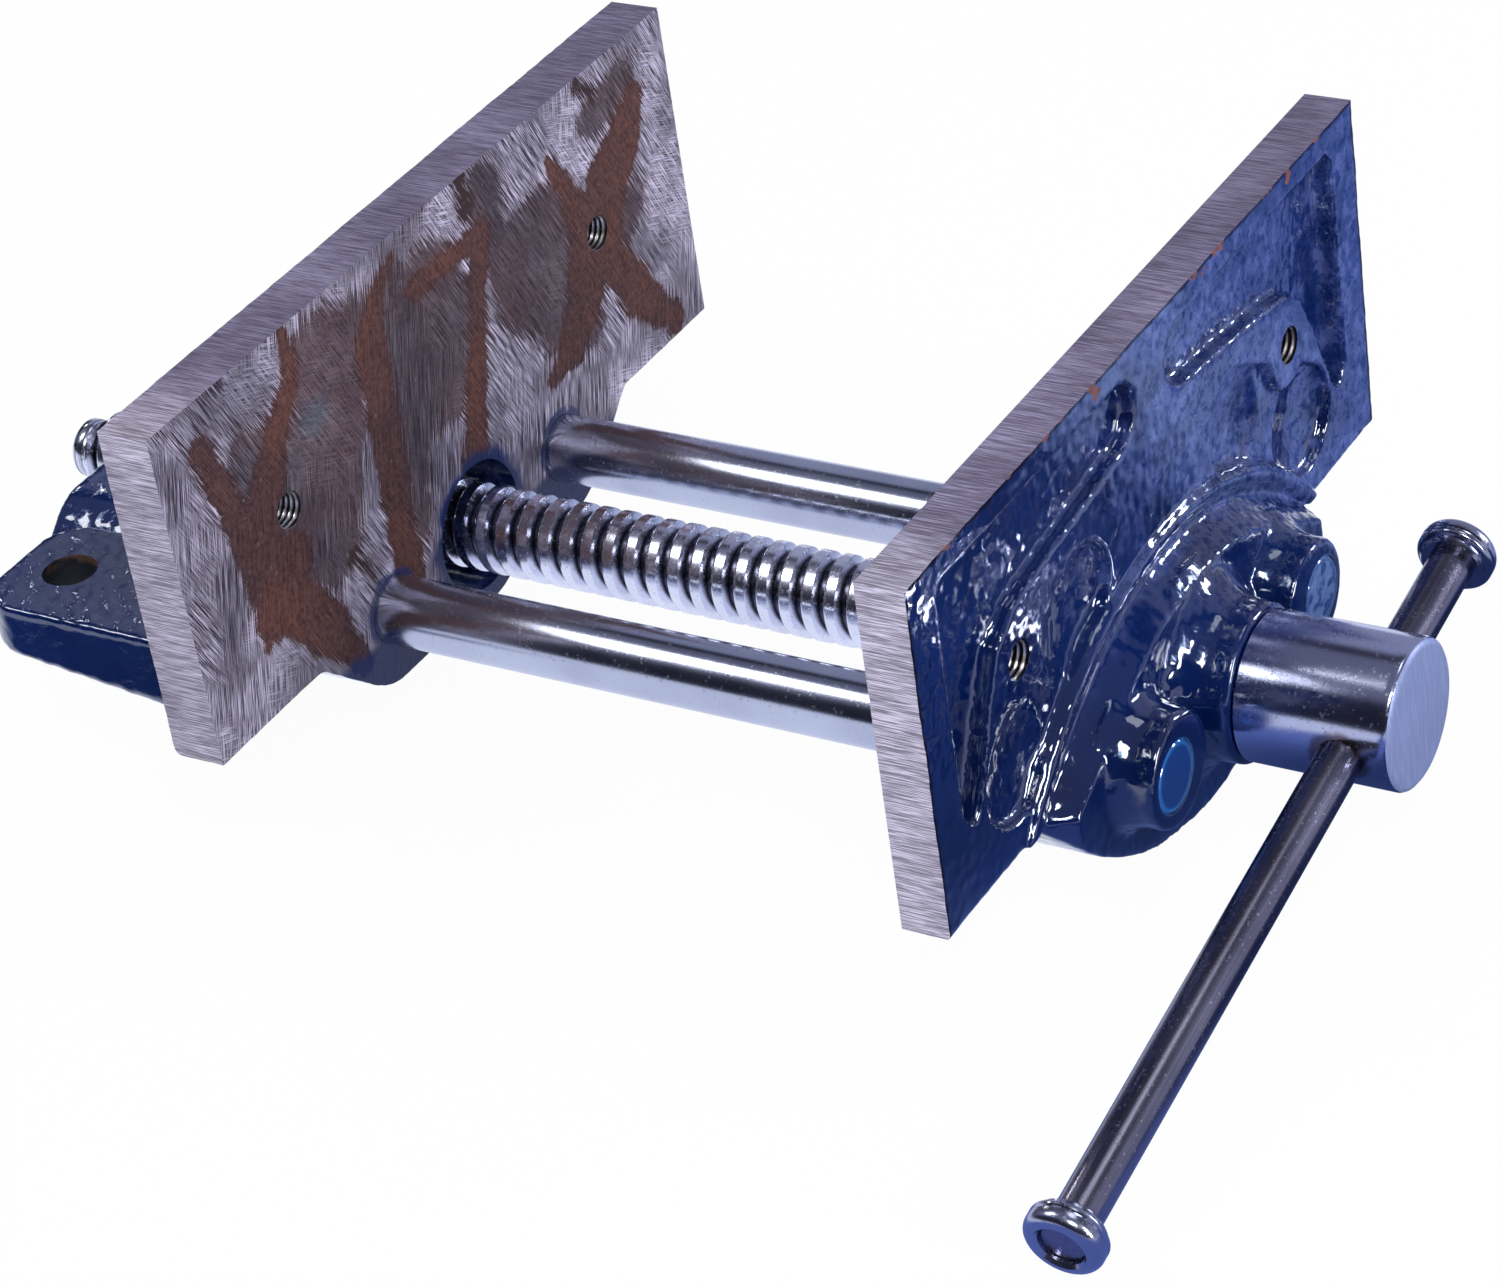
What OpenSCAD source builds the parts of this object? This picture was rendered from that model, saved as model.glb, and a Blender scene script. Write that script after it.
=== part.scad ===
// Woodworking vise with a plain lead screw, for bolting under the front edge of a bench.
// Origin: midway between the two bench screws, on the flat tops of the mounting lugs.
// +Z is up, +X is right, and the handle is towards -Y. All sizes are in millimetres.

/* [Jaws] */
// Width of both jaws
jaw_w = 178; // [150:1:230]
// Height of both jaw plates
jaw_h = 71; // [66:1:85]
// Thickness of the rear jaw plate
rear_jaw_t = 11.2; // [9:0.1:14]
// Thickness of the front jaw plate
front_jaw_t = 9.5; // [8.5:0.1:13]
// Gap between the two clamping faces, as the vise is shown
opening = 145; // [60:1:160]
// Top of the jaws above the flat tops of the lugs
seat_drop = 51; // [44:1:60]
// Clamping face of the rear jaw in front of the bench screws
face_setback = 48; // [42:1:60]

/* [Guide rods] */
// Diameter of the guide rods
rod_d = 14; // [11:0.5:17]
// Distance between the axes of the guide rods
rod_spread = 63; // [60:1:70]
// Depth of the rods and the lead screw below the top of the jaws
axis_drop = 72; // [69:1:76]
// How far the rear ends of the rods stay inside the housing
rod_inset = 2.5; // [1:0.5:10]
// Diameter of the cross pins that lock the rods in the front jaw
rod_pin_d = 4; // [3:0.5:5]

/* [Lead screw] */
// Outer diameter of the thread
screw_d = 17.6; // [15:0.1:18]
// Pitch of the thread
thread_pitch = 5; // [4:0.5:6]
// Depth of the thread
thread_depth = 2; // [1.2:0.1:2.4]
// Width of the flat crest of the thread
thread_crest = 2.7; // [1.8:0.1:2.8]
// Width of each sloping flank of the thread, measured along the screw
thread_flank = 0.45; // [0.3:0.05:0.6]
// Diameter of the smooth shank that turns in the front jaw
shank_d = 18; // [18:0.1:18.6]
// Length of the shank behind the front jaw, with the collar on it
shank_tail = 15; // [14:0.5:20]
// How far the screw stands out behind the housing, as the vise is shown
screw_tail = 25.4; // [15:0.1:40]
// Diameter of the turned tip at the rear end of the screw
tip_d = 12.4; // [9:0.1:13]
// Length of that tip
tip_len = 6; // [3:0.5:10]
// Diameter of the tenon that holds the head
tenon_d = 14; // [12:0.5:15]
// Length of the tenon
tenon_len = 12; // [11:0.5:13]

/* [Collar and washer] */
// Outer diameter of the retaining collar
collar_d = 24; // [23:0.5:25]
// Length of the retaining collar
collar_len = 9; // [7:0.5:10]
// Diameter of the pin through the collar
collar_pin_d = 4; // [3:0.5:5]
// Outer diameter of the thrust washer
washer_d = 25; // [23:0.5:25.5]
// Thickness of the thrust washer
washer_t = 1.5; // [1:0.1:2]

/* [Head and handle] */
// Diameter of the head on the front end of the screw
head_d = 28.6; // [27:0.1:32]
// Length of the head
head_len = 30.5; // [29:0.5:36]
// Chamfer round the front face of the head
head_chamfer = 1; // [0.4:0.1:2]
// Distance from the front face of the head to the axis of the handle bar
bar_setback = 9.7; // [8.5:0.1:11]
// Diameter of the handle bar
bar_d = 8.6; // [7.6:0.1:11]
// Tilt of the handle bar, as the vise is shown
bar_tilt = 10.2; // [0:0.1:60]
// Length of bar between the screw's axis and the upper knob
bar_far = 38.3; // [24:0.1:100]
// Length of bar between the screw's axis and the lower knob
bar_near = 125.1; // [60:0.1:140]
// Diameter of the knobs
knob_d = 14.8; // [13.4:0.1:20]
// Length of the knobs
knob_len = 6; // [5.4:0.1:10]
// Depth of the dished end of each knob
knob_dish = 1.4; // [0.6:0.1:2]
// Diameter of the pin that locks the head
head_pin_d = 5; // [4:0.5:5.5]

/* [Housing and lugs] */
// Outer diameter of the housing round each rod
boss_d = 31; // [28:0.5:34]
// Outer diameter of the housing round the screw
screw_boss_d = 34; // [33:0.5:36]
// Length of the housing behind the rear jaw
housing_len = 63.3; // [50:0.1:80]
// Half width of the casting where it leaves the lower edge of the jaws
flare_x = 56; // [53:0.5:60]
// Distance between the bench screws
lug_spacing = 134; // [130:1:144]
// Width of each mounting lug
lug_w = 31; // [26:0.5:33]
// How far each lug reaches behind its screw hole
lug_end = 13; // [10:0.5:20]
// Radius of the corners of each lug
lug_corner = 10; // [6:0.5:12]
// Thickness of the lugs at the jaw
lug_root_t = 16; // [12:0.5:18]
// Thickness of the lugs at their ends
lug_tip_t = 10; // [8:0.5:12]
// Diameter of the bench screw holes
bench_hole_d = 11; // [8:0.5:13]

/* [Nut] */
// Outer diameter of the lead nut
nut_d = 25; // [24:0.5:26]
// Length of the lead nut
nut_len = 22; // [16:0.5:28]
// Diameter of the grub screw that locks the nut
grub_d = 6; // [5:0.5:6]

/* [Liner screw holes] */
// Distance between the two holes in each jaw
liner_spacing = 111; // [109:0.5:115]
// Depth of the holes below the top of the jaws
liner_drop = 35; // [34:0.5:37]
// Core diameter of the threaded holes
liner_core_d = 6.8; // [5:0.1:7]
// Diameter of the countersink at each mouth
liner_mouth_d = 8.8; // [8:0.1:10]

/* [Front jaw relief] */
// Depth of the cast pockets
pocket_depth = 3; // [1.5:0.1:3.5]
// Width of the border above the pockets
top_border = 5.5; // [4:0.5:8]
// Width of the border outside the pockets
side_border = 10; // [8:0.5:14]
// Top of the outer rib below the top of the jaws
rib_drop = 41; // [40:0.5:43]
// Radius of the outer rib's upper edge
rib_r = 77; // [76:0.5:80]
// Width of the outer rib
rib_w = 3; // [2:0.5:4]
// Height of the outer rib above the plate
rib_h = 1.4; // [0.8:0.1:2]
// Width of the groove between the outer rib and the raised body
groove_w = 2.5; // [2:0.5:4]
// Height of the raised body above the plate
body_h = 6; // [4:0.5:7]
// Draft of the raised body: how much narrower its top is, on each side
body_draft = 4.5; // [3:0.5:6]
// How far the front casting reaches below the axis of the screw
body_drop = 27; // [22:0.5:30]
// Diameter of the hub's front end
hub_d = 30.4; // [30:0.2:33]
// Height of the hub above the plate
hub_h = 17.4; // [16:0.1:22]
// Diameter of the rod bosses at their front ends
rod_boss_d = 22.4; // [20:0.2:24]
// How far each rod boss is set in from its rod, towards the screw
rod_boss_shift = 2; // [0:0.1:2.5]
// Height of the rod bosses above the plate
rod_boss_h = 14.9; // [13:0.1:16]

/* [Fits] */
// Radial clearance of what slides or turns
running_gap = 0.06; // [0.02:0.01:0.1]
// Radial clearance of pins and pieces that are held
slip_gap = 0.03; // [0.01:0.01:0.05]
// Gap between flat faces that turn on each other
face_play = 0.2; // [0.1:0.05:0.3]
// Radial and axial clearance of the thread in the nut
thread_gap = 0.25; // [0.2:0.05:0.3]

/* [Hidden] */
$fn = 64;
eps = 0.01;

// Heights
jaw_top = seat_drop;
jaw_bottom = jaw_top - jaw_h;
axis_z = jaw_top - axis_drop;
liner_z = jaw_top - liner_drop;

// Places along Y, from the back to the front
rear_face = -face_setback;
rear_back = rear_face + rear_jaw_t;
housing_back = rear_back + housing_len;
screw_back = housing_back + screw_tail;
front_face = rear_face - opening;
front_outer = front_face - front_jaw_t;
rod_front = front_outer - rod_boss_h;
hub_front = front_outer - hub_h;
head_back = hub_front - face_play;
head_front = head_back - head_len;
handle_y = head_front + bar_setback;

// Places across
rod_x = rod_spread / 2;
lug_x = lug_spacing / 2;
liner_x = liner_spacing / 2;

// The thread on the screw
crest_r = screw_d / 2;
root_r = crest_r - thread_depth;
thread_front = front_face + shank_tail;
thread_back = screw_back - tip_len;
thread_sides = 18;
nut_front = housing_back - nut_len;

// The collar behind the front jaw, and the recess that takes it when the vise closes
washer_back = front_face + face_play + washer_t;
collar_front = washer_back + slip_gap;
collar_pin_y = collar_front + collar_len / 2;
recess_r = max(collar_d, washer_d) / 2 + 1.1;
recess_depth = face_play + washer_t + collar_len + 2;
screw_clear_r = max(shank_d, screw_d) / 2 + 1.2;

// Pins and the grub screw
rod_pin_y = front_outer - body_h - rod_pin_d / 2 - 0.3;
rod_pin_low = axis_z - rod_boss_d / 2 + 0.8;
rod_pin_len = (rod_boss_d + rod_d) / 2 - 2.5;
head_pin_y = head_back - tenon_len / 2;
head_pin_low = head_d / 2 - 0.6;
head_pin_high = tenon_d / 2 + 2.5;
grub_y = housing_back - nut_len / 2;
grub_len = (screw_boss_d - nut_d) / 2 + 0.4;

// The relief on the front jaw
arc_z = jaw_top - rib_drop - rib_r;
body_r = rib_r - rib_w - groove_w;
pocket_right = jaw_w / 2 - side_border;
pocket_top = jaw_top - top_border;
hole_boss_r = liner_mouth_d / 2 + 3.9;

// A solid made from an outline in X and Z, from y_back towards the front
module slab(y_back, thick) {
    translate([0, y_back, 0])
        rotate([90, 0, 0])
            linear_extrude(thick) children();
}

// A round bar along Y on an axis at x, z
module bar_y(x, z, y_back, y_front, d) {
    translate([x, y_back, z])
        rotate([90, 0, 0])
            cylinder(h = y_back - y_front, d = d);
}

// A cone along Y, with its two diameters
module cone_y(x, z, y_back, y_front, d_back, d_front) {
    translate([x, y_back, z])
        rotate([90, 0, 0])
            cylinder(h = y_back - y_front, d1 = d_back, d2 = d_front);
}

// The same thing on the left and on the right
module both_sides() {
    children();
    mirror([1, 0, 0]) children();
}

// A screw thread along +Z with a right-hand ridge; phase is where the ridge starts at angle 0
module ridge_rod(length, crest, root, crest_w, flank_w, pitch, phase, sides) {
    ridge_w = crest_w + 2 * flank_w;
    turns = floor((length - phase - ridge_w) / pitch);
    rows = 4 * turns + 2;
    steps = [[root, 0], [crest, flank_w], [crest, flank_w + crest_w], [root, ridge_w]];
    function at(r, a, z) = [r * cos(a), r * sin(a), z];
    function slice(i) = [
        at(root, 360 * i / sides, 0),
        for (k = [0:turns - 1], s = steps)
            at(s[0], 360 * i / sides, phase + s[1] + pitch * (k + i / sides)),
        at(root, 360 * i / sides, length)
    ];
    points = [for (i = [0:sides - 1]) each slice(i)];
    function id(row, i) = i * rows + row;
    last = sides - 1;
    top = rows - 1;
    function quad(a, b, c, d) = [[a, b, c], [a, c, d]];
    function fan(apex, ring) = [for (k = [0:len(ring) - 2]) [apex, ring[k], ring[k + 1]]];
    faces = [
        for (i = [0:last - 1], r = [0:rows - 2])
            each quad(id(r, i), id(r + 1, i), id(r + 1, i + 1), id(r, i + 1)),
        for (r = [1:top - 6])
            each quad(id(r, last), id(r + 1, last), id(r + 5, 0), id(r + 4, 0)),
        each fan(id(0, last), [id(1, last), id(5, 0), id(4, 0), id(1, 0), id(0, 0)]),
        each quad(id(1, 0), id(4, 0), id(3, 0), id(2, 0)),
        each fan(id(top - 1, 0), [id(top - 5, last), id(top - 4, last), id(top - 1, last),
                                  id(top, last), id(top, 0)]),
        each quad(id(top - 3, last), id(top - 2, last), id(top - 1, last), id(top - 4, last)),
        each fan(id(0, 0), [for (i = [1:last]) id(0, i)]),
        each fan(id(top, 0), [for (i = [1:last]) id(top, sides - i)])
    ];
    polyhedron(points, faces, convexity = 10);
}

// The outline of the rear casting below its jaw plate: a wall round each rod and the screw
module lower_outline() {
    boss_r = boss_d / 2;
    reach = flare_x - rod_x;
    rise = jaw_bottom - axis_z;
    angle = atan2(rise, reach) - acos(boss_r / norm([reach, rise]));
    both_sides() {
        translate([rod_x, axis_z]) circle(boss_r);
        translate([0, axis_z - boss_r]) square([rod_x, boss_r + 2]);
        polygon([
            [0, jaw_bottom + 1], [flare_x, jaw_bottom + 1], [flare_x, jaw_bottom],
            [rod_x + boss_r * cos(angle), axis_z + boss_r * sin(angle)], [rod_x, axis_z]
        ]);
    }
    translate([0, axis_z]) circle(d = screw_boss_d);
}

// The housing behind the rear jaw: one wall round both rods and the screw
module housing_outline() {
    both_sides() {
        translate([rod_x, axis_z]) circle(d = boss_d);
        translate([0, axis_z - boss_d / 2]) square([rod_x, boss_d]);
    }
    translate([0, axis_z]) circle(d = screw_boss_d);
}

// A threaded hole for a wooden liner, drawn as its core with a countersink at each mouth
module liner_hole(y_back, y_front) {
    sink = (liner_mouth_d - liner_core_d) / 2;
    bar_y(liner_x, liner_z, y_back + 1, y_front - 1, liner_core_d);
    cone_y(liner_x, liner_z, y_back + eps, y_back - sink, liner_mouth_d, liner_core_d);
    cone_y(liner_x, liner_z, y_front + sink, y_front - eps, liner_core_d, liner_mouth_d);
}

// One mounting lug, thicker at the jaw, with its screw hole
module lug() {
    root_y = rear_back - rear_jaw_t / 2;
    inner = lug_x - lug_w / 2;
    outer = lug_x + lug_w / 2;
    deep = lug_root_t + 1;
    difference() {
        intersection() {
            translate([0, 0, -deep])
                linear_extrude(deep) {
                    translate([inner, root_y]) square([lug_w, lug_end - lug_corner - root_y]);
                    translate([inner + lug_corner, 0]) square([lug_w - 2 * lug_corner, lug_end]);
                    for (x = [inner + lug_corner, outer - lug_corner])
                        translate([x, lug_end - lug_corner]) circle(lug_corner);
                }
            translate([inner, 0, 0])
                rotate([90, 0, 90])
                    linear_extrude(lug_w)
                        polygon([[root_y, 0], [root_y, -lug_root_t], [rear_back, -lug_root_t],
                                 [lug_end, -lug_tip_t], [lug_end, 0]]);
        }
        translate([lug_x, 0, -deep]) cylinder(h = deep + 1, d = bench_hole_d);
    }
}

// The web that ties a lug to the housing
module lug_web() {
    web_t = lug_tip_t - 2;
    translate([rod_x, rear_back - 1, -lug_tip_t])
        cube([lug_x - lug_w / 2 - rod_x + 1, -rear_back + 1, web_t]);
}

module rear_jaw() color("midnightblue") {
    difference() {
        union() {
            slab(rear_back, rear_jaw_t) {
                translate([-jaw_w / 2, jaw_bottom]) square([jaw_w, jaw_h]);
                lower_outline();
            }
            slab(housing_back, housing_len + 1) housing_outline();
            both_sides() {
                lug();
                lug_web();
            }
        }
        both_sides() {
            bar_y(rod_x, axis_z, housing_back + 1, rear_face - 1, rod_d + 2 * running_gap);
            liner_hole(rear_back, rear_face);
        }
        bar_y(0, axis_z, housing_back + 1, nut_front, nut_d + 2 * slip_gap);
        bar_y(0, axis_z, nut_front + 1, rear_face - 1, 2 * screw_clear_r);
        bar_y(0, axis_z, rear_face + recess_depth, rear_face - 1, 2 * recess_r);
        translate([0, grub_y, axis_z - screw_boss_d]) cylinder(h = screw_boss_d, d = grub_d + 2 * slip_gap);
    }
}

// The nut that the lead screw runs in, pressed into the rear end of the housing
module lead_nut() color("dimgray") {
    turns_before = 3;
    start = thread_pitch * ceil((nut_front - thread_front) / thread_pitch - turns_before);
    difference() {
        bar_y(0, axis_z, housing_back, nut_front, nut_d);
        translate([0, thread_front + start, axis_z])
            rotate([-90, 0, 0])
                ridge_rod(nut_len + 2 * turns_before * thread_pitch, crest_r + thread_gap,
                          root_r + thread_gap, thread_crest + 2 * thread_gap, thread_flank,
                          thread_pitch, thread_pitch - thread_gap, thread_sides);
        translate([0, grub_y, axis_z - nut_d / 2 - 1])
            cylinder(h = 2, d = grub_d + 2 * slip_gap);
    }
}

// The grub screw that locks the nut, with its hexagon socket, driven in from below
module nut_grub_screw() color("slategray") {
    tip_z = axis_z - nut_d / 2 + 0.9;
    translate([0, grub_y, tip_z - grub_len])
        difference() {
            cylinder(h = grub_len, d = grub_d);
            translate([0, 0, -eps]) cylinder(h = grub_len / 2, d = grub_d / 2, $fn = 6);
        }
}

// The long pocket along the top of the front jaw, which turns down beside the threaded hole
module upper_pocket_outline() {
    end_r = 6.4;
    end_x = 12.9;
    end_z = pocket_top - end_r;
    polygon([
        [end_x, pocket_top], [pocket_right - 2, pocket_top], [pocket_right, pocket_top - 2],
        [pocket_right, jaw_bottom + 19], [pocket_right - 3, jaw_bottom + 15],
        [pocket_right - 6, jaw_bottom + 18], [liner_x + 11, liner_z - 2],
        [liner_x + 6.6, liner_z + 6.5], [liner_x, liner_z + 11], [liner_x - 6, liner_z + 12.2],
        [end_x + 16, end_z - end_r - 1.9], [end_x, end_z - end_r]
    ]);
    translate([end_x, end_z]) circle(end_r);
}

// The kidney-shaped pocket below the threaded hole, which the outer rib closes from below
module lower_pocket_outline() {
    inner = [liner_x - 24, liner_z - 2.5];
    outer = [liner_x + 4.6, liner_z - 19];
    inner_r = 10.4;
    outer_r = 11;
    run = outer - inner;
    across = [-run[1], run[0]] / norm(run);
    difference() {
        union() {
            translate(inner) circle(inner_r);
            translate(outer) circle(outer_r);
            polygon([
                inner + across * inner_r, outer + across * outer_r,
                outer - across * outer_r, inner - across * inner_r
            ]);
        }
        translate([liner_x, liner_z]) circle(hole_boss_r);
        translate([0, arc_z]) circle(rib_r + 0.6);
    }
}

// Both pockets of one side: the upper one is deepest at its outer end, the lower one has two dishes
module pockets() {
    extra = pocket_depth * 0.6;
    dish_r = 34;
    slab(front_outer + pocket_depth, pocket_depth + 1) upper_pocket_outline();
    intersection() {
        slab(front_outer + pocket_depth + extra, pocket_depth + extra + 1) upper_pocket_outline();
        translate([0, 0, jaw_bottom])
            linear_extrude(jaw_h)
                polygon([
                    [liner_x + 2, front_outer + pocket_depth],
                    [pocket_right - 4, front_outer + pocket_depth + extra],
                    [pocket_right + 1, front_outer + pocket_depth + extra],
                    [pocket_right + 1, front_outer - 1], [liner_x + 2, front_outer - 1]
                ]);
    }
    slab(front_outer + pocket_depth * 0.6, pocket_depth + 1) lower_pocket_outline();
    for (p = [[liner_x - 23, liner_z - 5], [liner_x + 4.6, liner_z - 19]])
        intersection() {
            slab(front_outer + pocket_depth + extra, pocket_depth + extra + 1) lower_pocket_outline();
            translate([p[0], front_outer + pocket_depth + extra / 2 - dish_r, p[1]]) sphere(dish_r, $fn = 96);
        }
}

// The belly of the front casting: a flat arc below the jaw, from one end of the flare to the other
module belly() {
    sag = jaw_bottom - axis_z + body_drop;
    r = (pow(flare_x, 2) + pow(sag, 2)) / (2 * sag);
    swing = asin(flare_x / r);
    steps = 12;
    polygon([
        [flare_x, jaw_bottom + 1], [-flare_x, jaw_bottom + 1],
        for (i = [-steps:steps])
            [r * sin(swing * i / steps), axis_z - body_drop + r * (1 - cos(swing * i / steps))]
    ]);
}

// The outline of the raised body: an arch above, drawn in by a draft, and the belly below
module body_outline(inset) {
    r = body_r - inset;
    foot = acos((jaw_bottom + inset - arc_z) / r);
    steps = 12;
    polygon([for (i = [-steps:steps]) [r * sin(foot * i / steps), arc_z + r * cos(foot * i / steps)]]);
    intersection() {
        belly();
        square([2 * (flare_x - inset), 2 * jaw_h], center = true);
    }
}

// The raised body: the arched shoulder that carries the hub and the rod bosses
module raised_body() {
    hull() {
        slab(front_outer + 1, 0.5) body_outline(0);
        slab(front_outer - body_h + 0.5, 0.5) body_outline(body_draft);
    }
}

// The narrow rib that follows the arch above the raised body
module outer_rib() {
    slab(front_outer + 1, rib_h + 1)
        intersection() {
            translate([0, arc_z])
                difference() {
                    circle(rib_r, $fn = 128);
                    circle(rib_r - rib_w, $fn = 128);
                }
            translate([-jaw_w / 2, jaw_bottom]) square([jaw_w, jaw_h]);
        }
}

// A boss turned about an axis along Y: wide at its foot, with a rounded front rim
module turned_boss(x, foot_r, end_r, height, sweep_h) {
    steps = 6;
    rim = 1;
    translate([x, front_outer, axis_z])
        rotate([90, 0, 0])
            rotate_extrude()
                polygon([
                    [0, 0],
                    for (i = [0:steps]) [
                        end_r + (foot_r - end_r) * pow(1 - i / steps, 2),
                        body_h - 2 + (sweep_h - body_h + 2) * i / steps
                    ],
                    for (i = [0:3]) [end_r - rim * (1 - cos(i * 30)), height - rim * (1 - sin(i * 30))],
                    [0, height]
                ]);
}

module front_jaw() color("midnightblue") {
    difference() {
        union() {
            difference() {
                slab(front_face, front_jaw_t) {
                    translate([-jaw_w / 2, jaw_bottom]) square([jaw_w, jaw_h]);
                    belly();
                }
                both_sides() pockets();
            }
            raised_body();
            outer_rib();
            turned_boss(0, 23.5, hub_d / 2, hub_h, hub_h - 4);
            both_sides()
                turned_boss(rod_x - rod_boss_shift, boss_d / 2 - 0.6, rod_boss_d / 2, rod_boss_h, rod_boss_h - 3);
        }
        both_sides() {
            bar_y(rod_x, axis_z, front_face + 1, rod_front - 1, rod_d + 2 * slip_gap);
            liner_hole(front_face, front_outer);
            translate([rod_x, rod_pin_y, axis_z - boss_d])
                cylinder(h = boss_d, d = rod_pin_d + 2 * slip_gap);
        }
        bar_y(0, axis_z, front_face + 1, hub_front - 1, shank_d + 2 * running_gap);
    }
}

// A guide rod, fixed in the front jaw and sliding in the housing
module guide_rod(x) color("silver") {
    difference() {
        bar_y(x, axis_z, housing_back - rod_inset, rod_front, rod_d);
        translate([x, rod_pin_y, rod_pin_low - 1])
            cylinder(h = rod_pin_len + 1 + slip_gap, d = rod_pin_d + 2 * slip_gap);
    }
}

// The cross pin of a guide rod, driven in from below
module rod_pin(x) color("dimgray") {
    translate([x, rod_pin_y, rod_pin_low]) cylinder(h = rod_pin_len, d = rod_pin_d);
}

// The screw: turned tip, thread, smooth shank and the tenon in the head, in one piece
module lead_screw() color("gainsboro") {
    buried = 1;
    translate([0, thread_front - buried, axis_z])
        rotate([-90, 0, 0])
            ridge_rod(thread_back - thread_front + buried, crest_r, root_r, thread_crest, thread_flank,
                      thread_pitch, thread_pitch + buried, thread_sides);
    difference() {
        union() {
            bar_y(0, axis_z, thread_front, head_back, shank_d);
            bar_y(0, axis_z, head_back + eps, head_back - tenon_len, tenon_d);
        }
        translate([-shank_d, collar_pin_y, axis_z])
            rotate([0, 90, 0]) cylinder(h = 2 * shank_d, d = collar_pin_d + 2 * slip_gap);
        head_pin_place() head_pin_hole();
    }
    bar_y(0, axis_z, screw_back - 1, thread_back - buried, tip_d);
    cone_y(0, axis_z, screw_back, screw_back - 1, tip_d - 2, tip_d);
}

// The hardened washer between the front jaw and the collar
module thrust_washer() color("lightsteelblue") {
    difference() {
        bar_y(0, axis_z, washer_back, washer_back - washer_t, washer_d);
        bar_y(0, axis_z, washer_back + 1, washer_back - washer_t - 1, shank_d + 0.4);
    }
}

// The collar that pulls the front jaw out when the screw is turned back
module retaining_collar() color("gray") {
    difference() {
        bar_y(0, axis_z, collar_front + collar_len, collar_front, collar_d);
        bar_y(0, axis_z, collar_front + collar_len + 1, collar_front - 1, shank_d + 2 * slip_gap);
        translate([-collar_d, collar_pin_y, axis_z])
            rotate([0, 90, 0]) cylinder(h = 2 * collar_d, d = collar_pin_d + 2 * slip_gap);
    }
}

// The pin through the collar and the shank
module collar_pin() color("dimgray") {
    length = collar_d - 2;
    translate([-length / 2, collar_pin_y, axis_z]) rotate([0, 90, 0]) cylinder(h = length, d = collar_pin_d);
}

// The handle's own frame: its X axis runs along the bar, and its origin is on the screw's axis
module handle_frame() {
    translate([0, handle_y, axis_z]) rotate([0, -bar_tilt, 0]) children();
}

// The head pin's frame: its Z axis is square to the bar
module head_pin_place() {
    translate([0, head_pin_y, axis_z]) rotate([0, -bar_tilt, 0]) children();
}

// The blind hole for the head pin, open at the underside of the head
module head_pin_hole() {
    translate([0, 0, -head_d / 2 - 1])
        cylinder(h = head_d / 2 + 1 + head_pin_high + slip_gap, d = head_pin_d + 2 * slip_gap);
}

// The head that the handle bar passes through, pinned on the front end of the screw
module screw_head() color("silver") {
    difference() {
        union() {
            bar_y(0, axis_z, head_back, head_front + head_chamfer, head_d);
            cone_y(0, axis_z, head_front + head_chamfer + eps, head_front,
                   head_d, head_d - 2 * head_chamfer);
        }
        bar_y(0, axis_z, head_back + 1, head_back - tenon_len - slip_gap, tenon_d + 2 * slip_gap);
        handle_frame()
            translate([-head_d, 0, 0])
                rotate([0, 90, 0]) cylinder(h = 2 * head_d, d = bar_d + 2 * running_gap);
        head_pin_place() head_pin_hole();
    }
}

// The pin that locks the head on the tenon
module head_pin() color("dimgray") {
    head_pin_place()
        translate([0, 0, -head_pin_low]) cylinder(h = head_pin_low + head_pin_high, d = head_pin_d);
}

// The sliding bar of the handle, with both ends inside the knobs
module handle_bar() color("slategray") {
    inside = knob_len - knob_dish;
    handle_frame()
        translate([-bar_near - inside, 0, 0])
            rotate([0, 90, 0]) cylinder(h = bar_near + bar_far + 2 * inside, d = bar_d);
}

// A knob along +X from its inner face: a neck ring, a wide rounded ring and a dished end
module knob() {
    r = knob_d / 2;
    neck_r = r - 1.1;
    neck_len = knob_len * 0.22;
    round_r = 2.2;
    dish_r = bar_d / 2 + slip_gap;
    rotate([0, 90, 0])
        rotate_extrude()
            polygon([
                [dish_r, 0], [neck_r - 0.5, 0], [neck_r, 0.5], [neck_r, neck_len],
                for (i = [0:3]) [r - 0.8 + 0.8 * sin(i * 30), neck_len + 0.8 - 0.8 * cos(i * 30)],
                for (i = [0:4]) [
                    r - round_r + round_r * cos(i * 22.5),
                    knob_len - round_r + round_r * sin(i * 22.5)
                ],
                [dish_r + 0.6, knob_len], [dish_r, knob_len - 0.6]
            ]);
}

module handle_knob_upper() color("slategray") {
    handle_frame() translate([bar_far, 0, 0]) knob();
}

module handle_knob_lower() color("slategray") {
    handle_frame() rotate([0, 180, 0]) translate([bar_near, 0, 0]) knob();
}

rear_jaw();
lead_nut();
nut_grub_screw();
front_jaw();
guide_rod(-rod_x);  // guide_rod_left
guide_rod(rod_x);  // guide_rod_right
rod_pin(-rod_x);  // rod_pin_left
rod_pin(rod_x);  // rod_pin_right
lead_screw();
thrust_washer();
retaining_collar();
collar_pin();
screw_head();
head_pin();
handle_bar();
handle_knob_upper();
handle_knob_lower();
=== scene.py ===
# %% [markdown]
# # A woodworking vise, from bare construction model to painted iron
# The construction model gives every piece its size, its place and the body it moves with.
# This lesson adds what a drawing leaves out: the skin of sand-cast iron, glossy blue paint,
# faces ground bare, rolled thread and plated steel. It goes from the finishes to the castings,
# then to the turned pieces, and ends with the floor, the lamps and the camera.

# %% Load the construction model
import math

import bmesh
import bpy
import numpy as np
from mathutils import Matrix, Vector, noise


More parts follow.
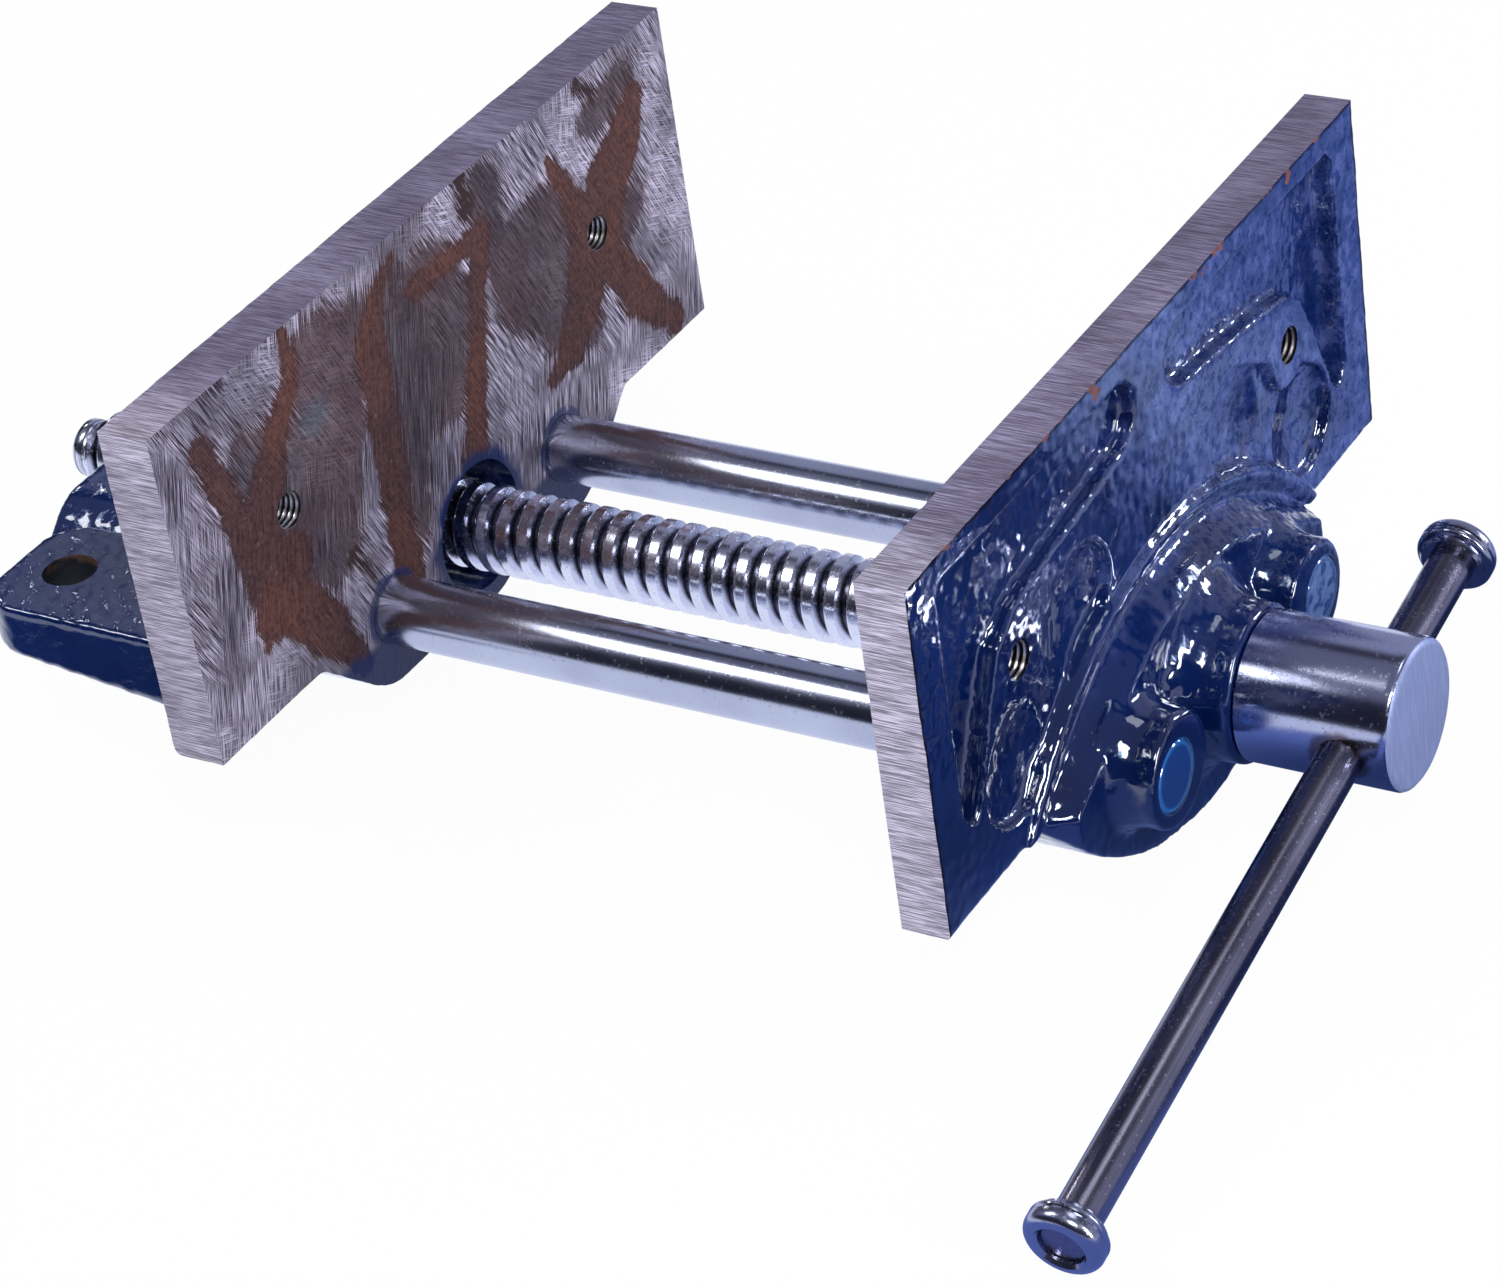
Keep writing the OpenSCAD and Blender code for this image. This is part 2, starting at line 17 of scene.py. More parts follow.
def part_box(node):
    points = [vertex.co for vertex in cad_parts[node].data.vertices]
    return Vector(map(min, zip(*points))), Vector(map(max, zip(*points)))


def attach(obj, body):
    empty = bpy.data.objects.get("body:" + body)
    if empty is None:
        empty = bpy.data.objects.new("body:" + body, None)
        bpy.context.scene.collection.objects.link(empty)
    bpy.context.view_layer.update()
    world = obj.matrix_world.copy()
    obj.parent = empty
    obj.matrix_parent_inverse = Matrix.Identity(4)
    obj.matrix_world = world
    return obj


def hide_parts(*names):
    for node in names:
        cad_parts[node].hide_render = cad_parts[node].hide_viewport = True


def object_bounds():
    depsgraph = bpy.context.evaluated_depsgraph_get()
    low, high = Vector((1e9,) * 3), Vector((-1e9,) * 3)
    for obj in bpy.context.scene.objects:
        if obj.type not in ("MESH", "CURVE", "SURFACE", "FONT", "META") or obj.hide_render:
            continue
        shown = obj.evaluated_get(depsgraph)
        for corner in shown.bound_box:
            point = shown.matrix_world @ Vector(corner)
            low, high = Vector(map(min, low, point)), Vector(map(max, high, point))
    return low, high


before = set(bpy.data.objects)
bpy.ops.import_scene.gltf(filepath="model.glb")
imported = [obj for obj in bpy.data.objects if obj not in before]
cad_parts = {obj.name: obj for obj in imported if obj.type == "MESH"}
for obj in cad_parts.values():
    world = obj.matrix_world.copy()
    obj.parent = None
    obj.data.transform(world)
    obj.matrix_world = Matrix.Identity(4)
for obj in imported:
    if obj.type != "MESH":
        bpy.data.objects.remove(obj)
cad_low, cad_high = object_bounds()
MM = 0.001
print("construction box in mm:", [round(v / MM, 1) for v in (*cad_low, *cad_high)])

# %% [markdown]
# ## Sizes that the pieces share
# Most sizes are read from the box of a piece of the construction model, so the dressed pieces
# keep fitting when the model changes. The slant of the handle, the start of the thread and the
# liner holes don't show in a box, so they are written here as the model has them. The vise lies
# with its jaws across X, its screw along Y and Z up, and all bores share the screw's height.

# %% Read the main planes and axes
rear_low, rear_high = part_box("rear_jaw")
front_low, front_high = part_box("front_jaw")
rod_low, rod_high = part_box("guide_rod_right")
pin_low, pin_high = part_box("rod_pin_left")
_, screw_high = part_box("lead_screw")
nut_low, nut_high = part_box("lead_nut")
head_low, head_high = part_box("screw_head")
bar_low, bar_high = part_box("handle_bar")

JAW_TOP, JAW_SIDE = front_high.z, front_high.x
REAR_FACE, FRONT_FACE = rear_low.y, front_high.y
HUB_FRONT, BOSS_FRONT, HOUSING_BACK = front_low.y, rod_low.y, rear_high.y
AXIS_Z = (rod_low.z + rod_high.z) / 2
ROD_X, ROD_R = (rod_low.x + rod_high.x) / 2, (rod_high.x - rod_low.x) / 2
PIN_Y = (pin_low.y + pin_high.y) / 2
BAR_R, BAR_Y = (bar_high.y - bar_low.y) / 2, (bar_high.y + bar_low.y) / 2
BAR_TILT = math.radians(10.2)
THREAD_FRONT, THREAD_BACK = -178 * MM, screw_high.y - 6 * MM
LINER_X, LINER_Z = 55.5 * MM, JAW_TOP - 35 * MM
print("screw axis at", round(AXIS_Z / MM, 2), "mm, rods at", round(ROD_X / MM, 2), "mm")

# %% [markdown]
# ## A short hand for node sheets
# Finishes are drawn as sheets of nodes. Placing each node by hand takes many lines, so this class
# gives the few kinds that the finishes use a short name each. A value that is a socket gets
# linked, and any other value is written on the socket itself.

# %% The node sheet
def spaced(values):
    """Names as Blender writes them: Base_Color stands for the socket Base Color."""
    return {label.replace("_", " "): value for label, value in values.items()}


class Sheet:
    """A node tree, with a short call for each kind of node that the finishes use."""

    def __init__(self, tree):
        self.tree = tree

    def put(self, kind, inputs=(), **settings):
        node = self.tree.nodes.new(kind)
        for name, value in settings.items():
            setattr(node, name, value)
        for socket, value in dict(inputs).items():
            if isinstance(value, bpy.types.NodeSocket):
                self.tree.links.new(value, node.inputs[socket])
            else:
                node.inputs[socket].default_value = value
        return node

    def use(self, group, place, **values):
        """Places an effect and gives its outputs."""
        inputs = {"Place": place, **spaced(values)}
        return self.put("ShaderNodeGroup", inputs, node_tree=group).outputs

    def feed(self, sockets, **values):
        for label, value in spaced(values).items():
            self.tree.links.new(value, sockets[label])

    def math(self, operation, a, b=0.0, c=0.0):
        return self.put("ShaderNodeMath", {0: a, 1: b, 2: c}, operation=operation).outputs[0]

    def plus(self, a, b):
        return self.math("ADD", a, b)

    def less(self, a, b):
        return self.math("SUBTRACT", a, b)

    def times(self, a, b):
        return self.math("MULTIPLY", a, b)

    def scaled(self, value, factor, start):
        """The start, plus the value times the factor."""
        return self.math("MULTIPLY_ADD", value, factor, start)

    def most(self, a, b):
        return self.math("MAXIMUM", a, b)

    def vector(self, operation, a, b=(0, 0, 0)):
        return self.put("ShaderNodeVectorMath", {0: a, 1: b}, operation=operation).outputs

    def split(self, place):
        return self.put("ShaderNodeSeparateXYZ", {0: place}).outputs

    def join(self, x=0.0, y=0.0, z=0.0):
        return self.put("ShaderNodeCombineXYZ", {0: x, 1: y, 2: z}).outputs[0]

    def rotated(self, place, angle, centre=(0, 0, 0)):
        """The place turned about an axis along Y."""
        return self.put("ShaderNodeVectorRotate", {"Vector": place, "Angle": angle, "Center": centre},
                        rotation_type="Y_AXIS").outputs[0]

    def away(self, place, point):
        return self.vector("DISTANCE", place, point)["Value"]

    def from_axis(self, x, z, axis_x, axis_z):
        """How far a spot is from an axis along Y, or from that axis's mirror image at -X."""
        across = self.less(self.math("ABSOLUTE", x), axis_x)
        return self.vector("LENGTH", self.join(across, 0.0, self.less(z, axis_z)))["Value"]

    def grain(self, place, scale, detail=3.0, rough=0.5, twist=0.0):
        return self.put("ShaderNodeTexNoise", {"Vector": place, "Scale": scale, "Detail": detail,
                                               "Roughness": rough, "Distortion": twist}).outputs[0]

    def ease(self, value, start, end, low=0.0, high=1.0):
        """Goes softly from low to high while the value goes from start to end."""
        return self.put("ShaderNodeMapRange", {0: value, 1: start, 2: end, 3: low, 4: high},
                        interpolation_type="SMOOTHSTEP").outputs[0]

    def blend(self, amount, a, b):
        return self.put("ShaderNodeMix", {0: amount, 2: a, 3: b}, data_type="FLOAT").outputs[0]

    def mix(self, amount, a, b):
        return self.put("ShaderNodeMix", {0: amount, 6: a, 7: b}, data_type="RGBA").outputs[2]


# %% [markdown]
# What several finishes share, such as fine lines or small specks, is an effect: a node group that
# is drawn once, has named sockets, and is then placed in each finish with other values.

# %% A helper that starts an effect
def effect(name, places, values, results):
    """A shader node group: its sheet, the sockets that feed it and the sockets that it feeds."""
    tree = bpy.data.node_groups.new(name, "ShaderNodeTree")
    sockets = [(label, "INPUT", "NodeSocketVector") for label in places]
    sockets += [(label, "INPUT", "NodeSocketFloat") for label in values]
    sockets += [(label, "OUTPUT", "NodeSocketFloat") for label in results]
    for label, way, kind in sockets:
        tree.interface.new_socket(label, in_out=way, socket_type=kind)
    print("effect", name, "takes", places + values, "and gives", results)
    return Sheet(tree), tree.nodes.new("NodeGroupInput").outputs, tree.nodes.new("NodeGroupOutput").inputs


# %% [markdown]
# ## Effect: fine lines
# A milling cutter, a file or a grinding belt leaves fine lines that all run one way. Noise that is
# squeezed across the lines and drawn out along them gives lines that start and stop as real ones
# do, which a wave texture would not. The group takes the place already turned, so that its Y runs
# along the lines, and says how many lines go on a metre.

# %% Build the fine lines
sheet, given, out = effect("fine_lines", ["Place"], ["Per metre", "Length", "Cover", "Softness"],
                           ["Lines", "Height"])
squeeze = sheet.join(given["Per metre"], sheet.math("DIVIDE", 1.0, given["Length"]), given["Per metre"])
drawn = sheet.vector("MULTIPLY", given["Place"], squeeze)[0]
raw = sheet.grain(drawn, 1.0, detail=2.0, rough=0.7)
threshold = sheet.less(0.75, sheet.times(given["Cover"], 0.5))
lines = sheet.ease(raw, sheet.less(threshold, given["Softness"]), sheet.plus(threshold, given["Softness"]))
sheet.feed(out, Lines=lines, Height=raw)
fine_lines = sheet.tree

# %% [markdown]
# ## Effect: cast skin
# Iron poured in sand keeps the sand's grain, and the paint that is flowed over it rounds that
# grain and hangs down in soft runs. A fine noise makes the sand, a wider one the lumps, which
# come in patches, and a slow one drawn out down the casting the runs. The group puts out one
# height for a bump, a slow mask for small changes of shade, and where the skin is closed: the
# rest of it is small pits.

# %% Build the cast skin
sheet, given, out = effect("cast_skin", ["Place"], ["Grain per metre", "Runs"],
                           ["Height", "Shade", "Closed"])
place = given["Place"]
fine = sheet.grain(place, given["Grain per metre"], detail=2.0, rough=0.6)
lumps = sheet.grain(place, 330.0, detail=2.0, rough=0.45)
patches = sheet.ease(sheet.grain(place, 55.0, detail=2.0), 0.44, 0.6, 0.25, 1.6)
hung = sheet.vector("MULTIPLY", place, (1.0, 1.0, 0.3))[0]
runs = sheet.grain(hung, 160.0, detail=3.0, rough=0.55, twist=0.6)
height = sheet.scaled(runs, given["Runs"], sheet.times(fine, 0.16))
height = sheet.plus(sheet.times(lumps, patches), height)
pits = sheet.grain(place, given["Grain per metre"], detail=4.0, rough=0.75)
sheet.feed(out, Height=height, Shade=sheet.grain(place, 28.0, detail=2.0),
           Closed=sheet.ease(pits, 0.43, 0.5))
cast_skin = sheet.tree

# %% [markdown]
# ## Effect: sparkle
# Plated and polished steel that has lain in a box shows tiny bright and dark specks. A cell
# texture gives each small cell its own shade, and the group keeps only the cells beyond a limit.

# %% Build the sparkle
sheet, given, out = effect("sparkle", ["Place"], ["Per metre", "Amount"], ["Specks", "Height"])
cells = sheet.put("ShaderNodeTexVoronoi", {"Vector": given["Place"], "Scale": given["Per metre"]})
cell_shade = sheet.split(cells.outputs["Color"])[0]
limit = sheet.less(1.0, given["Amount"])
sheet.feed(out, Specks=sheet.ease(cell_shade, limit, sheet.plus(limit, 0.05)),
           Height=sheet.grain(given["Place"], given["Per metre"], detail=2.0))
sparkle = sheet.tree

# %% [markdown]
# ## Effect: worn edge
# Paint breaks away where it meets a machined edge. The group takes how far a spot is from that
# edge, in metres, and a noise decides how far in each chip reaches.

# %% Build the worn edge
sheet, given, out = effect("worn_edge", ["Place"], ["From edge", "Reach", "Chips per metre"], ["Bare"])
bite = sheet.grain(given["Place"], given["Chips per metre"], detail=3.0, rough=0.6)
depth = sheet.times(sheet.ease(bite, 0.52, 0.72), given["Reach"])
sheet.feed(out, Bare=sheet.ease(sheet.less(depth, given["From edge"]), 0.0, 0.3 * MM))
worn_edge = sheet.tree

# %% [markdown]
# ## Effect: brush stroke
# The maker's red-brown filler was brushed on the bare face in short straight strokes. A stroke is
# all that lies within some distance of a line between two points, and the width changes evenly
# from one end to the other. The group puts out how deep inside the stroke a spot lies, so strokes
# join where the larger of two values is kept.

# %% Build the brush stroke
sheet, given, out = effect("brush_stroke", ["Place", "From", "To"], ["Start width", "End width"],
                           ["Inside"])
arm = sheet.vector("SUBTRACT", given["Place"], given["From"])[0]
run = sheet.vector("SUBTRACT", given["To"], given["From"])[0]
share = sheet.math("DIVIDE", sheet.vector("DOT_PRODUCT", arm, run)["Value"],
                   sheet.vector("DOT_PRODUCT", run, run)["Value"])
share = sheet.put("ShaderNodeClamp", {0: share}).outputs[0]
foot = sheet.put("ShaderNodeVectorMath", {0: run, "Scale": share}, operation="SCALE").outputs[0]
width = sheet.scaled(share, sheet.less(given["End width"], given["Start width"]), given["Start width"])
sheet.feed(out, Inside=sheet.less(width, sheet.away(arm, foot)))
brush_stroke = sheet.tree

# %% [markdown]
# ## Starting a finish
# Every finish is one Principled shader, fed by the effects. A number that is the same all over,
# such as a coat's roughness, is written on the shader's own socket, and only what changes from
# spot to spot arrives through a link.

# %% Helpers that start and end a finish
def fresh_sheet(owner):
    """An empty sheet for a material or a world."""
    owner.use_nodes = True
    owner.node_tree.nodes.clear()
    return Sheet(owner.node_tree)


def finish(name, **plain):
    """A new material: its sheet, its shader and the place of each spot on the object."""
    material = bpy.data.materials.new(name)
    board = fresh_sheet(material)
    shader = board.put("ShaderNodeBsdfPrincipled", spaced(plain))
    board.put("ShaderNodeOutputMaterial", {"Surface": shader.outputs[0]}, target="ALL")
    place = board.put("ShaderNodeTexCoord").outputs["Object"]
    return material, board, shader, place


def bump(board, shader, height, distance):
    node = board.put("ShaderNodeBump", {"Height": height, "Distance": distance, "Strength": 1.0})
    board.feed(shader.inputs, Normal=node.outputs[0])


# %% [markdown]
# ## Finish: blue paint
# The castings are flowed with a deep navy gloss. What the eye reads as paint is mostly the clear,
# hard reflection on top, so the finish has a strong coat over a darker, rougher base. Along the
# machined top edge the paint has chipped back to rust. The front ends of the rods were painted
# over with the casting, and each shows as a disc with a lighter ring at its edge.

# %% Mix the blue paint
NAVY_DARK, NAVY_CLEAR = (0.0006, 0.005, 0.038, 1), (0.0014, 0.01, 0.068, 1)
DISC_BLUE, DISC_RING = (0.004, 0.03, 0.15, 1), (0.015, 0.11, 0.36, 1)
FAR_DISC_DARK, FAR_DISC_PALE = (0.02, 0.05, 0.18, 1), (0.1, 0.16, 0.34, 1)
FAR_DISC_RING = (0.05, 0.1, 0.26, 1)
RUST_DARK, RUST_RED = (0.03, 0.018, 0.018, 1), (0.24, 0.07, 0.03, 1)

blue_paint, board, shader, place = finish("blue_paint", IOR=1.55, Specular_Tint=(0.5, 0.66, 1.0, 1.0),
                                          Coat_Roughness=0.05, Coat_IOR=1.8)
skin = board.use(cast_skin, place, Grain_per_metre=620.0, Runs=0.25)
x, y, z = board.split(place)
below_top = board.less(JAW_TOP, z)
chips = board.use(worn_edge, place, From_edge=below_top, Reach=4.0 * MM, Chips_per_metre=120.0)["Bare"]
rust = board.mix(board.grain(place, 900.0), RUST_DARK, RUST_RED)
navy = board.mix(board.ease(skin["Shade"], 0.35, 0.65), NAVY_DARK, NAVY_CLEAR)

from_rod = board.from_axis(x, z, ROD_X, AXIS_Z)
disc = board.times(board.ease(from_rod, ROD_R + 0.3 * MM, ROD_R - 0.1 * MM),
                   board.ease(y, BOSS_FRONT + 3 * MM, BOSS_FRONT + 1 * MM))
ring = board.times(disc, board.ease(from_rod, ROD_R - 1.6 * MM, ROD_R - 0.7 * MM))
far = board.ease(x, -20 * MM, 30 * MM)
mottled = board.mix(board.ease(board.grain(place, 420.0, detail=4.0), 0.42, 0.58),
                    FAR_DISC_DARK, FAR_DISC_PALE)
navy = board.mix(disc, navy, board.mix(far, DISC_BLUE, mottled))
navy = board.mix(ring, navy, board.mix(far, DISC_RING, FAR_DISC_RING))
print("navy, rust and the discs of the rods mixed")

# %% [markdown]
# Gloss paint on a casting is nowhere quite even. On the right half of the front jaw it has small
# open pits, and on the plate there a pale frosted sheen is painted into the colour: a painted
# reflection. A dark line follows the machined edges, and on the rear housing the paint lies in
# crinkles.

# %% Age the blue paint
SHEEN_PAINTED_DARK, SHEEN_PAINTED_PALE = (0.006, 0.018, 0.1, 1), (0.05, 0.07, 0.21, 1)
RIM_DARK_LINE = (0.004, 0.003, 0.008, 1)

edge = board.math("MINIMUM", below_top, board.less(JAW_SIDE, board.math("ABSOLUTE", x)))
rim = board.ease(board.scaled(board.grain(place, 420.0), 1.5 * MM, edge), 1.7 * MM, 1.2 * MM)
# painted sheen: a pale frosted reflection painted into the colour of the plate's right half
sheen = board.times(board.ease(x, -50 * MM, 10 * MM),
                    board.ease(board.grain(place, 90.0, rough=0.6), 0.38, 0.6))
on_plate = board.ease(y, FRONT_FACE - 12.5 * MM, FRONT_FACE - 10.5 * MM)
painted_sheen_colour = board.mix(board.ease(board.grain(place, 320.0, detail=4.0, rough=0.7), 0.45, 0.62),
                  SHEEN_PAINTED_DARK, SHEEN_PAINTED_PALE)
navy = board.mix(board.times(sheen, on_plate), navy, painted_sheen_colour)
# a dark line laid along the machined edges
navy = board.mix(rim, navy, RIM_DARK_LINE)
gloss = board.ease(board.grain(place, 55.0, detail=4.0, rough=0.6), 0.42, 0.62, 0.06, 0.16)
on_front = board.times(board.ease(x, -30 * MM, 20 * MM), board.ease(y, FRONT_FACE + 2 * MM, FRONT_FACE))
pitted = board.times(board.less(1.0, skin["Closed"]), on_front)
board.feed(shader.inputs, Base_Color=board.mix(chips, navy, rust),
           Roughness=board.scaled(chips, 0.4, gloss),
           Coat_Weight=board.less(1.0, board.most(pitted, board.most(chips, rim))))
crinkled = board.times(board.grain(place, 360.0, rough=0.55, twist=0.4),
                       board.ease(y, REAR_FACE + 12 * MM, REAR_FACE + 22 * MM, 0.0, 1.5))
bump(board, shader, board.plus(skin["Height"], crinkled), 0.2 * MM)
print("blue paint mixed")

# %% [markdown]
# ## Finish: milled edge
# The top and the ends of both jaws are milled, and the cutter crossed them from front to back.
# The lines run along Y, and small pores of the iron stay dark. The left end is painted paler as
# painted light, and the colour darkens a little towards the right end as painted shade.

# %% Draw the milled edge
EDGE_LIT_LEFT, EDGE_PALE, EDGE_DARK = (0.82, 0.75, 0.86, 1), (0.64, 0.57, 0.78, 1), (0.11, 0.09, 0.15, 1)
EDGE_LINE, PORE = (0.05, 0.032, 0.06, 1), (0.06, 0.045, 0.06, 1)
LIT_LEFT_STRIP, SHADED_RIGHT_START, SHADED_RIGHT_END = -0.7 * JAW_SIDE, -0.2 * JAW_SIDE, 0.9 * JAW_SIDE

milled_edge, board, shader, place = finish("milled_edge", Metallic=0.6)
cut = board.use(fine_lines, place, Per_metre=6200.0, Length=0.008, Cover=0.46, Softness=0.07)
pores = board.use(sparkle, place, Per_metre=2600.0, Amount=0.012)
x, y, z = board.split(place)
# painted light and shade: paler towards the left end, a little darker towards the right end
shade = board.times(board.grain(place, 45.0), board.ease(x, -JAW_SIDE, LIT_LEFT_STRIP, 2.0, 1.15))
shade = board.times(shade, board.ease(x, SHADED_RIGHT_START, SHADED_RIGHT_END, 1.0, 0.7))
pale = board.mix(board.ease(x, -JAW_SIDE, LIT_LEFT_STRIP), EDGE_LIT_LEFT, EDGE_PALE)
iron = board.mix(shade, EDGE_DARK, pale)
lined = board.mix(cut["Lines"], board.mix(0.7, iron, EDGE_LINE), iron)
board.feed(shader.inputs, Base_Color=board.mix(pores["Specks"], lined, PORE),
           Roughness=board.scaled(cut["Lines"], -0.1, 0.5))
bump(board, shader, cut["Height"], 0.03 * MM)
print("milled edge drawn")

# %% [markdown]
# ## Finish: ground face with brushed filler
# The clamping face of the rear jaw is ground bare, and its scratches run more than one way.
# Red-brown filler lies on it in a star round each threaded hole and in two bands between them,
# with a thin purple-brown stain around. Each stroke is given from two points and two widths, in
# millimetres across the jaw. Where the filler thins out, the scratches cut through it.

# %% Lay out the strokes
FILLER = [
    # left star
    ((-76, 41), (-71, 27), 2.6, 3.4), ((-71, 27), (-68, 13), 3.4, 4.4), ((-68, 13), (-66, -1), 4.4, 5.2),
    ((-67, -1), (-70, -6), 4.0, 1.0), ((-47, 52), (-47, 40), 1.6, 2.3), ((-47, 40), (-53, 34), 2.3, 3.4),
    ((-53, 34), (-59, 26), 3.4, 4.6), ((-59, 26), (-64, 17), 4.6, 6.0), ((-64, 12), (-56, 6), 6.0, 5.0),
    ((-64, 2), (-56, -6), 6.0, 5.6), ((-56, -6), (-50, -16), 5.6, 5.0), ((-50, -16), (-43, -27), 5.0, 1.6),
    # upright band
    ((-12, 46), (-19, 41), 0.8, 2.6), ((-19, 41), (-22, 34), 2.6, 4.6), ((-22, 34), (-23.5, 10), 4.8, 4.6),
    ((-23.5, 10), (-24, -20), 4.6, 3.6),
    # slanted band
    ((-7, 37), (18, 36), 1.8, 2.6), ((17, 36), (12, 23), 3.6, 2.8), ((12, 23), (8, 10), 2.8, 3.2),
    ((8, 10), (2, -8), 3.2, 4.4),
    # right star
    ((43, 39), (47, 31), 1.4, 2.8), ((47, 31), (51, 22), 2.8, 5.0), ((51, 22), (50, 10), 5.0, 7.6),
    ((75, 37), (70, 31), 4.0, 6.2), ((70, 31), (61, 24), 6.2, 7.6), ((61, 24), (56, 13), 7.6, 8.0),
    ((59, 8), (67, -5), 5.6, 4.8), ((67, -5), (78, -17), 4.8, 2.6), ((49, 6), (40, -2), 6.2, 5.0),
    ((40, -2), (32, -5), 5.0, 1.6),
]
STAIN = [
    ((-38, 39), (-38, 22), 8.0, 8.0), ((-39, 22), (-44, 4), 8.0, 6.5), ((-26, 38), (-26, 32), 5.5, 5.0),
    ((-62, 30), (-52, 24), 6.0, 7.0), ((-52, 15), (-46, 4), 8.0, 8.0), ((-15, 36), (-15, 13), 8.0, 8.0),
    ((-2, 32), (-2, 15), 9.5, 8.5), ((8, 24), (4, 13), 6.0, 5.0), ((-18, 10), (-18, -8), 3.5, 2.5),
    ((25, 26), (40, 26), 6.5, 7.0), ((27, 18), (41, 12), 6.5, 8.0), ((39, 5), (46, 2), 6.0, 6.0),
    ((60, 40), (72, 42), 2.6, 3.4), ((60, 12), (68, 16), 5.0, 4.0), ((20, 44), (20, 36), 3.6, 4.0),
]
SOOT = [((-4, 53), (16, 54), 1.2, 1.6), ((13, 52), (14, 44), 2.0, 3.0), ((56, 49), (62, 45), 2.0, 1.2),
        ((-40, -4), (-35, -11), 1.2, 0.8)]
print(len(FILLER), "strokes of filler,", len(STAIN), "stains,", len(SOOT), "scorched spots")


def painted_strokes(board, place, strokes, face_y):
    """How deep inside the nearest of these strokes each spot of a face lies, in metres."""
    deepest = None
    for start, end, wide, narrow in strokes:
        inside = board.use(brush_stroke, place, From=(start[0] * MM, face_y, start[1] * MM),
                           To=(end[0] * MM, face_y, end[1] * MM),
                           Start_width=wide * MM, End_width=narrow * MM)["Inside"]
        deepest = inside if deepest is None else board.math("SMOOTH_MAX", deepest, inside, 0.6 * MM)
    return deepest


# %% [markdown]
# The scratches come from the same fine lines as the milled edge, turned about Y in three ways:
# two of them share the face in patches, and the flat ones cross both here and there. The bare
# iron is a dark grey with bright scratches. Metal under the filler is hidden, so Metallic falls
# to nothing there.

# %% Rule for a ground finish
DULL_DARK, DULL_PALE, SCRATCH = (0.022, 0.014, 0.022, 1), (0.08, 0.062, 0.085, 1), (0.82, 0.74, 0.88, 1)
STAIN_SHADES = [(0.009, 0.005, 0.008, 1), (0.018, 0.007, 0.008, 1),
                (0.046, 0.026, 0.043, 1), (0.078, 0.032, 0.04, 1)]
FILLER_SHADES = [(0.026, 0.009, 0.011, 1), (0.045, 0.014, 0.012, 1),
                 (0.088, 0.038, 0.038, 1), (0.135, 0.052, 0.04, 1)]
SCORCHED, SMUDGE, DUST = (0.03, 0.013, 0.015, 1), (0.04, 0.045, 0.065, 1), (0.4, 0.34, 0.36, 1)


def scratched(board, place, degrees, per_metre, length, cover):
    px, _, pz = board.split(board.rotated(place, math.radians(degrees)))
    return board.use(fine_lines, board.join(px, pz, 0.0), Per_metre=per_metre, Length=length,
                     Cover=cover, Softness=0.06)


def ground_finish(name, strokes, stains, soot, face_y):
    material, board, shader, place = finish(name, Specular_IOR_Level=0.25)
    leaning = scratched(board, place, -13.0, 6400.0, 0.011, 0.44)
    crossed = scratched(board, place, 27.0, 6000.0, 0.009, 0.44)
    flat = scratched(board, place, 68.0, 5600.0, 0.007, 0.4)
    turn = board.ease(board.grain(place, 22.0), 0.46, 0.54)
    some = board.times(flat["Lines"], board.ease(board.grain(place, 34.0, detail=2.0), 0.52, 0.6))
    bright = board.most(board.blend(turn, leaning["Lines"], crossed["Lines"]), some)
    bright = board.times(bright, board.ease(board.grain(place, 60.0), 0.35, 0.6, 0.45, 1.0))
    iron = board.mix(bright, board.mix(board.grain(place, 40.0), DULL_DARK, DULL_PALE), SCRATCH)
    wander = board.times(board.less(board.grain(place, 130.0, detail=6.0, rough=0.72), 0.5), 7 * MM)
    streaks = board.less(board.blend(turn, leaning["Height"], crossed["Height"]), 0.5)
    torn = board.times(streaks, -9 * MM)

    def depth_in(chosen):
        return board.plus(painted_strokes(board, place, chosen, face_y), wander)

    def cover_of(depth, thin, spread):
        """From 0 to 1; spread widens the strokes by so many mm, and thin lets the scratches cut in."""
        return board.ease(board.scaled(torn, thin, board.plus(depth, spread * MM)), 0.0, 0.5 * MM)

    in_filler = depth_in(strokes)
    stain = board.times(cover_of(depth_in(stains), 2.2, 3.8), 0.88)
    filler = cover_of(in_filler, 0.8, 1.1)
    deep = board.ease(in_filler, -1 * MM, 2.6 * MM)
    scorch = cover_of(depth_in(soot), 1.6, 0.8)
    tone = board.scaled(streaks, 1.4, board.grain(place, 900.0, detail=4.0, rough=0.75))
    tone = board.ease(tone, 0.3, 0.7)
    cloud = board.ease(board.grain(place, 38.0), 0.35, 0.65)
    purple, red = (board.mix(tone, board.mix(cloud, *shades[:2]), board.mix(cloud, *shades[2:]))
                   for shades in (STAIN_SHADES, FILLER_SHADES))
    smudge = board.away(place, (-42.7 * MM, face_y, 29.5 * MM))
    smudge = board.scaled(board.grain(place, 160.0, detail=4.0), 5 * MM, smudge)
    purple = board.mix(board.ease(smudge, 9 * MM, 4 * MM), purple, SMUDGE)
    dust = board.use(sparkle, place, Per_metre=1500.0, Amount=0.02)["Specks"]
    red = board.mix(deep, board.mix(0.5, purple, red), red)
    colour = board.mix(filler, board.mix(stain, iron, purple), red)
    colour = board.mix(scorch, colour, SCORCHED)
    colour = board.mix(board.times(dust, 0.4), colour, DUST)
    covered = board.most(board.most(stain, filler), scorch)
    bump(board, shader, board.scaled(bright, 0.25, tone), 0.05 * MM)
    return material, board, shader, place, colour, covered


# %% [markdown]
# When the casting was painted, some blue strayed on the ground face: in a ring round the recess
# of the screw, round the bores of the rods and along the lower edge of the housing.

# %% Draw the ground face
STRAY_BLUE = (0.001, 0.01, 0.08, 1)

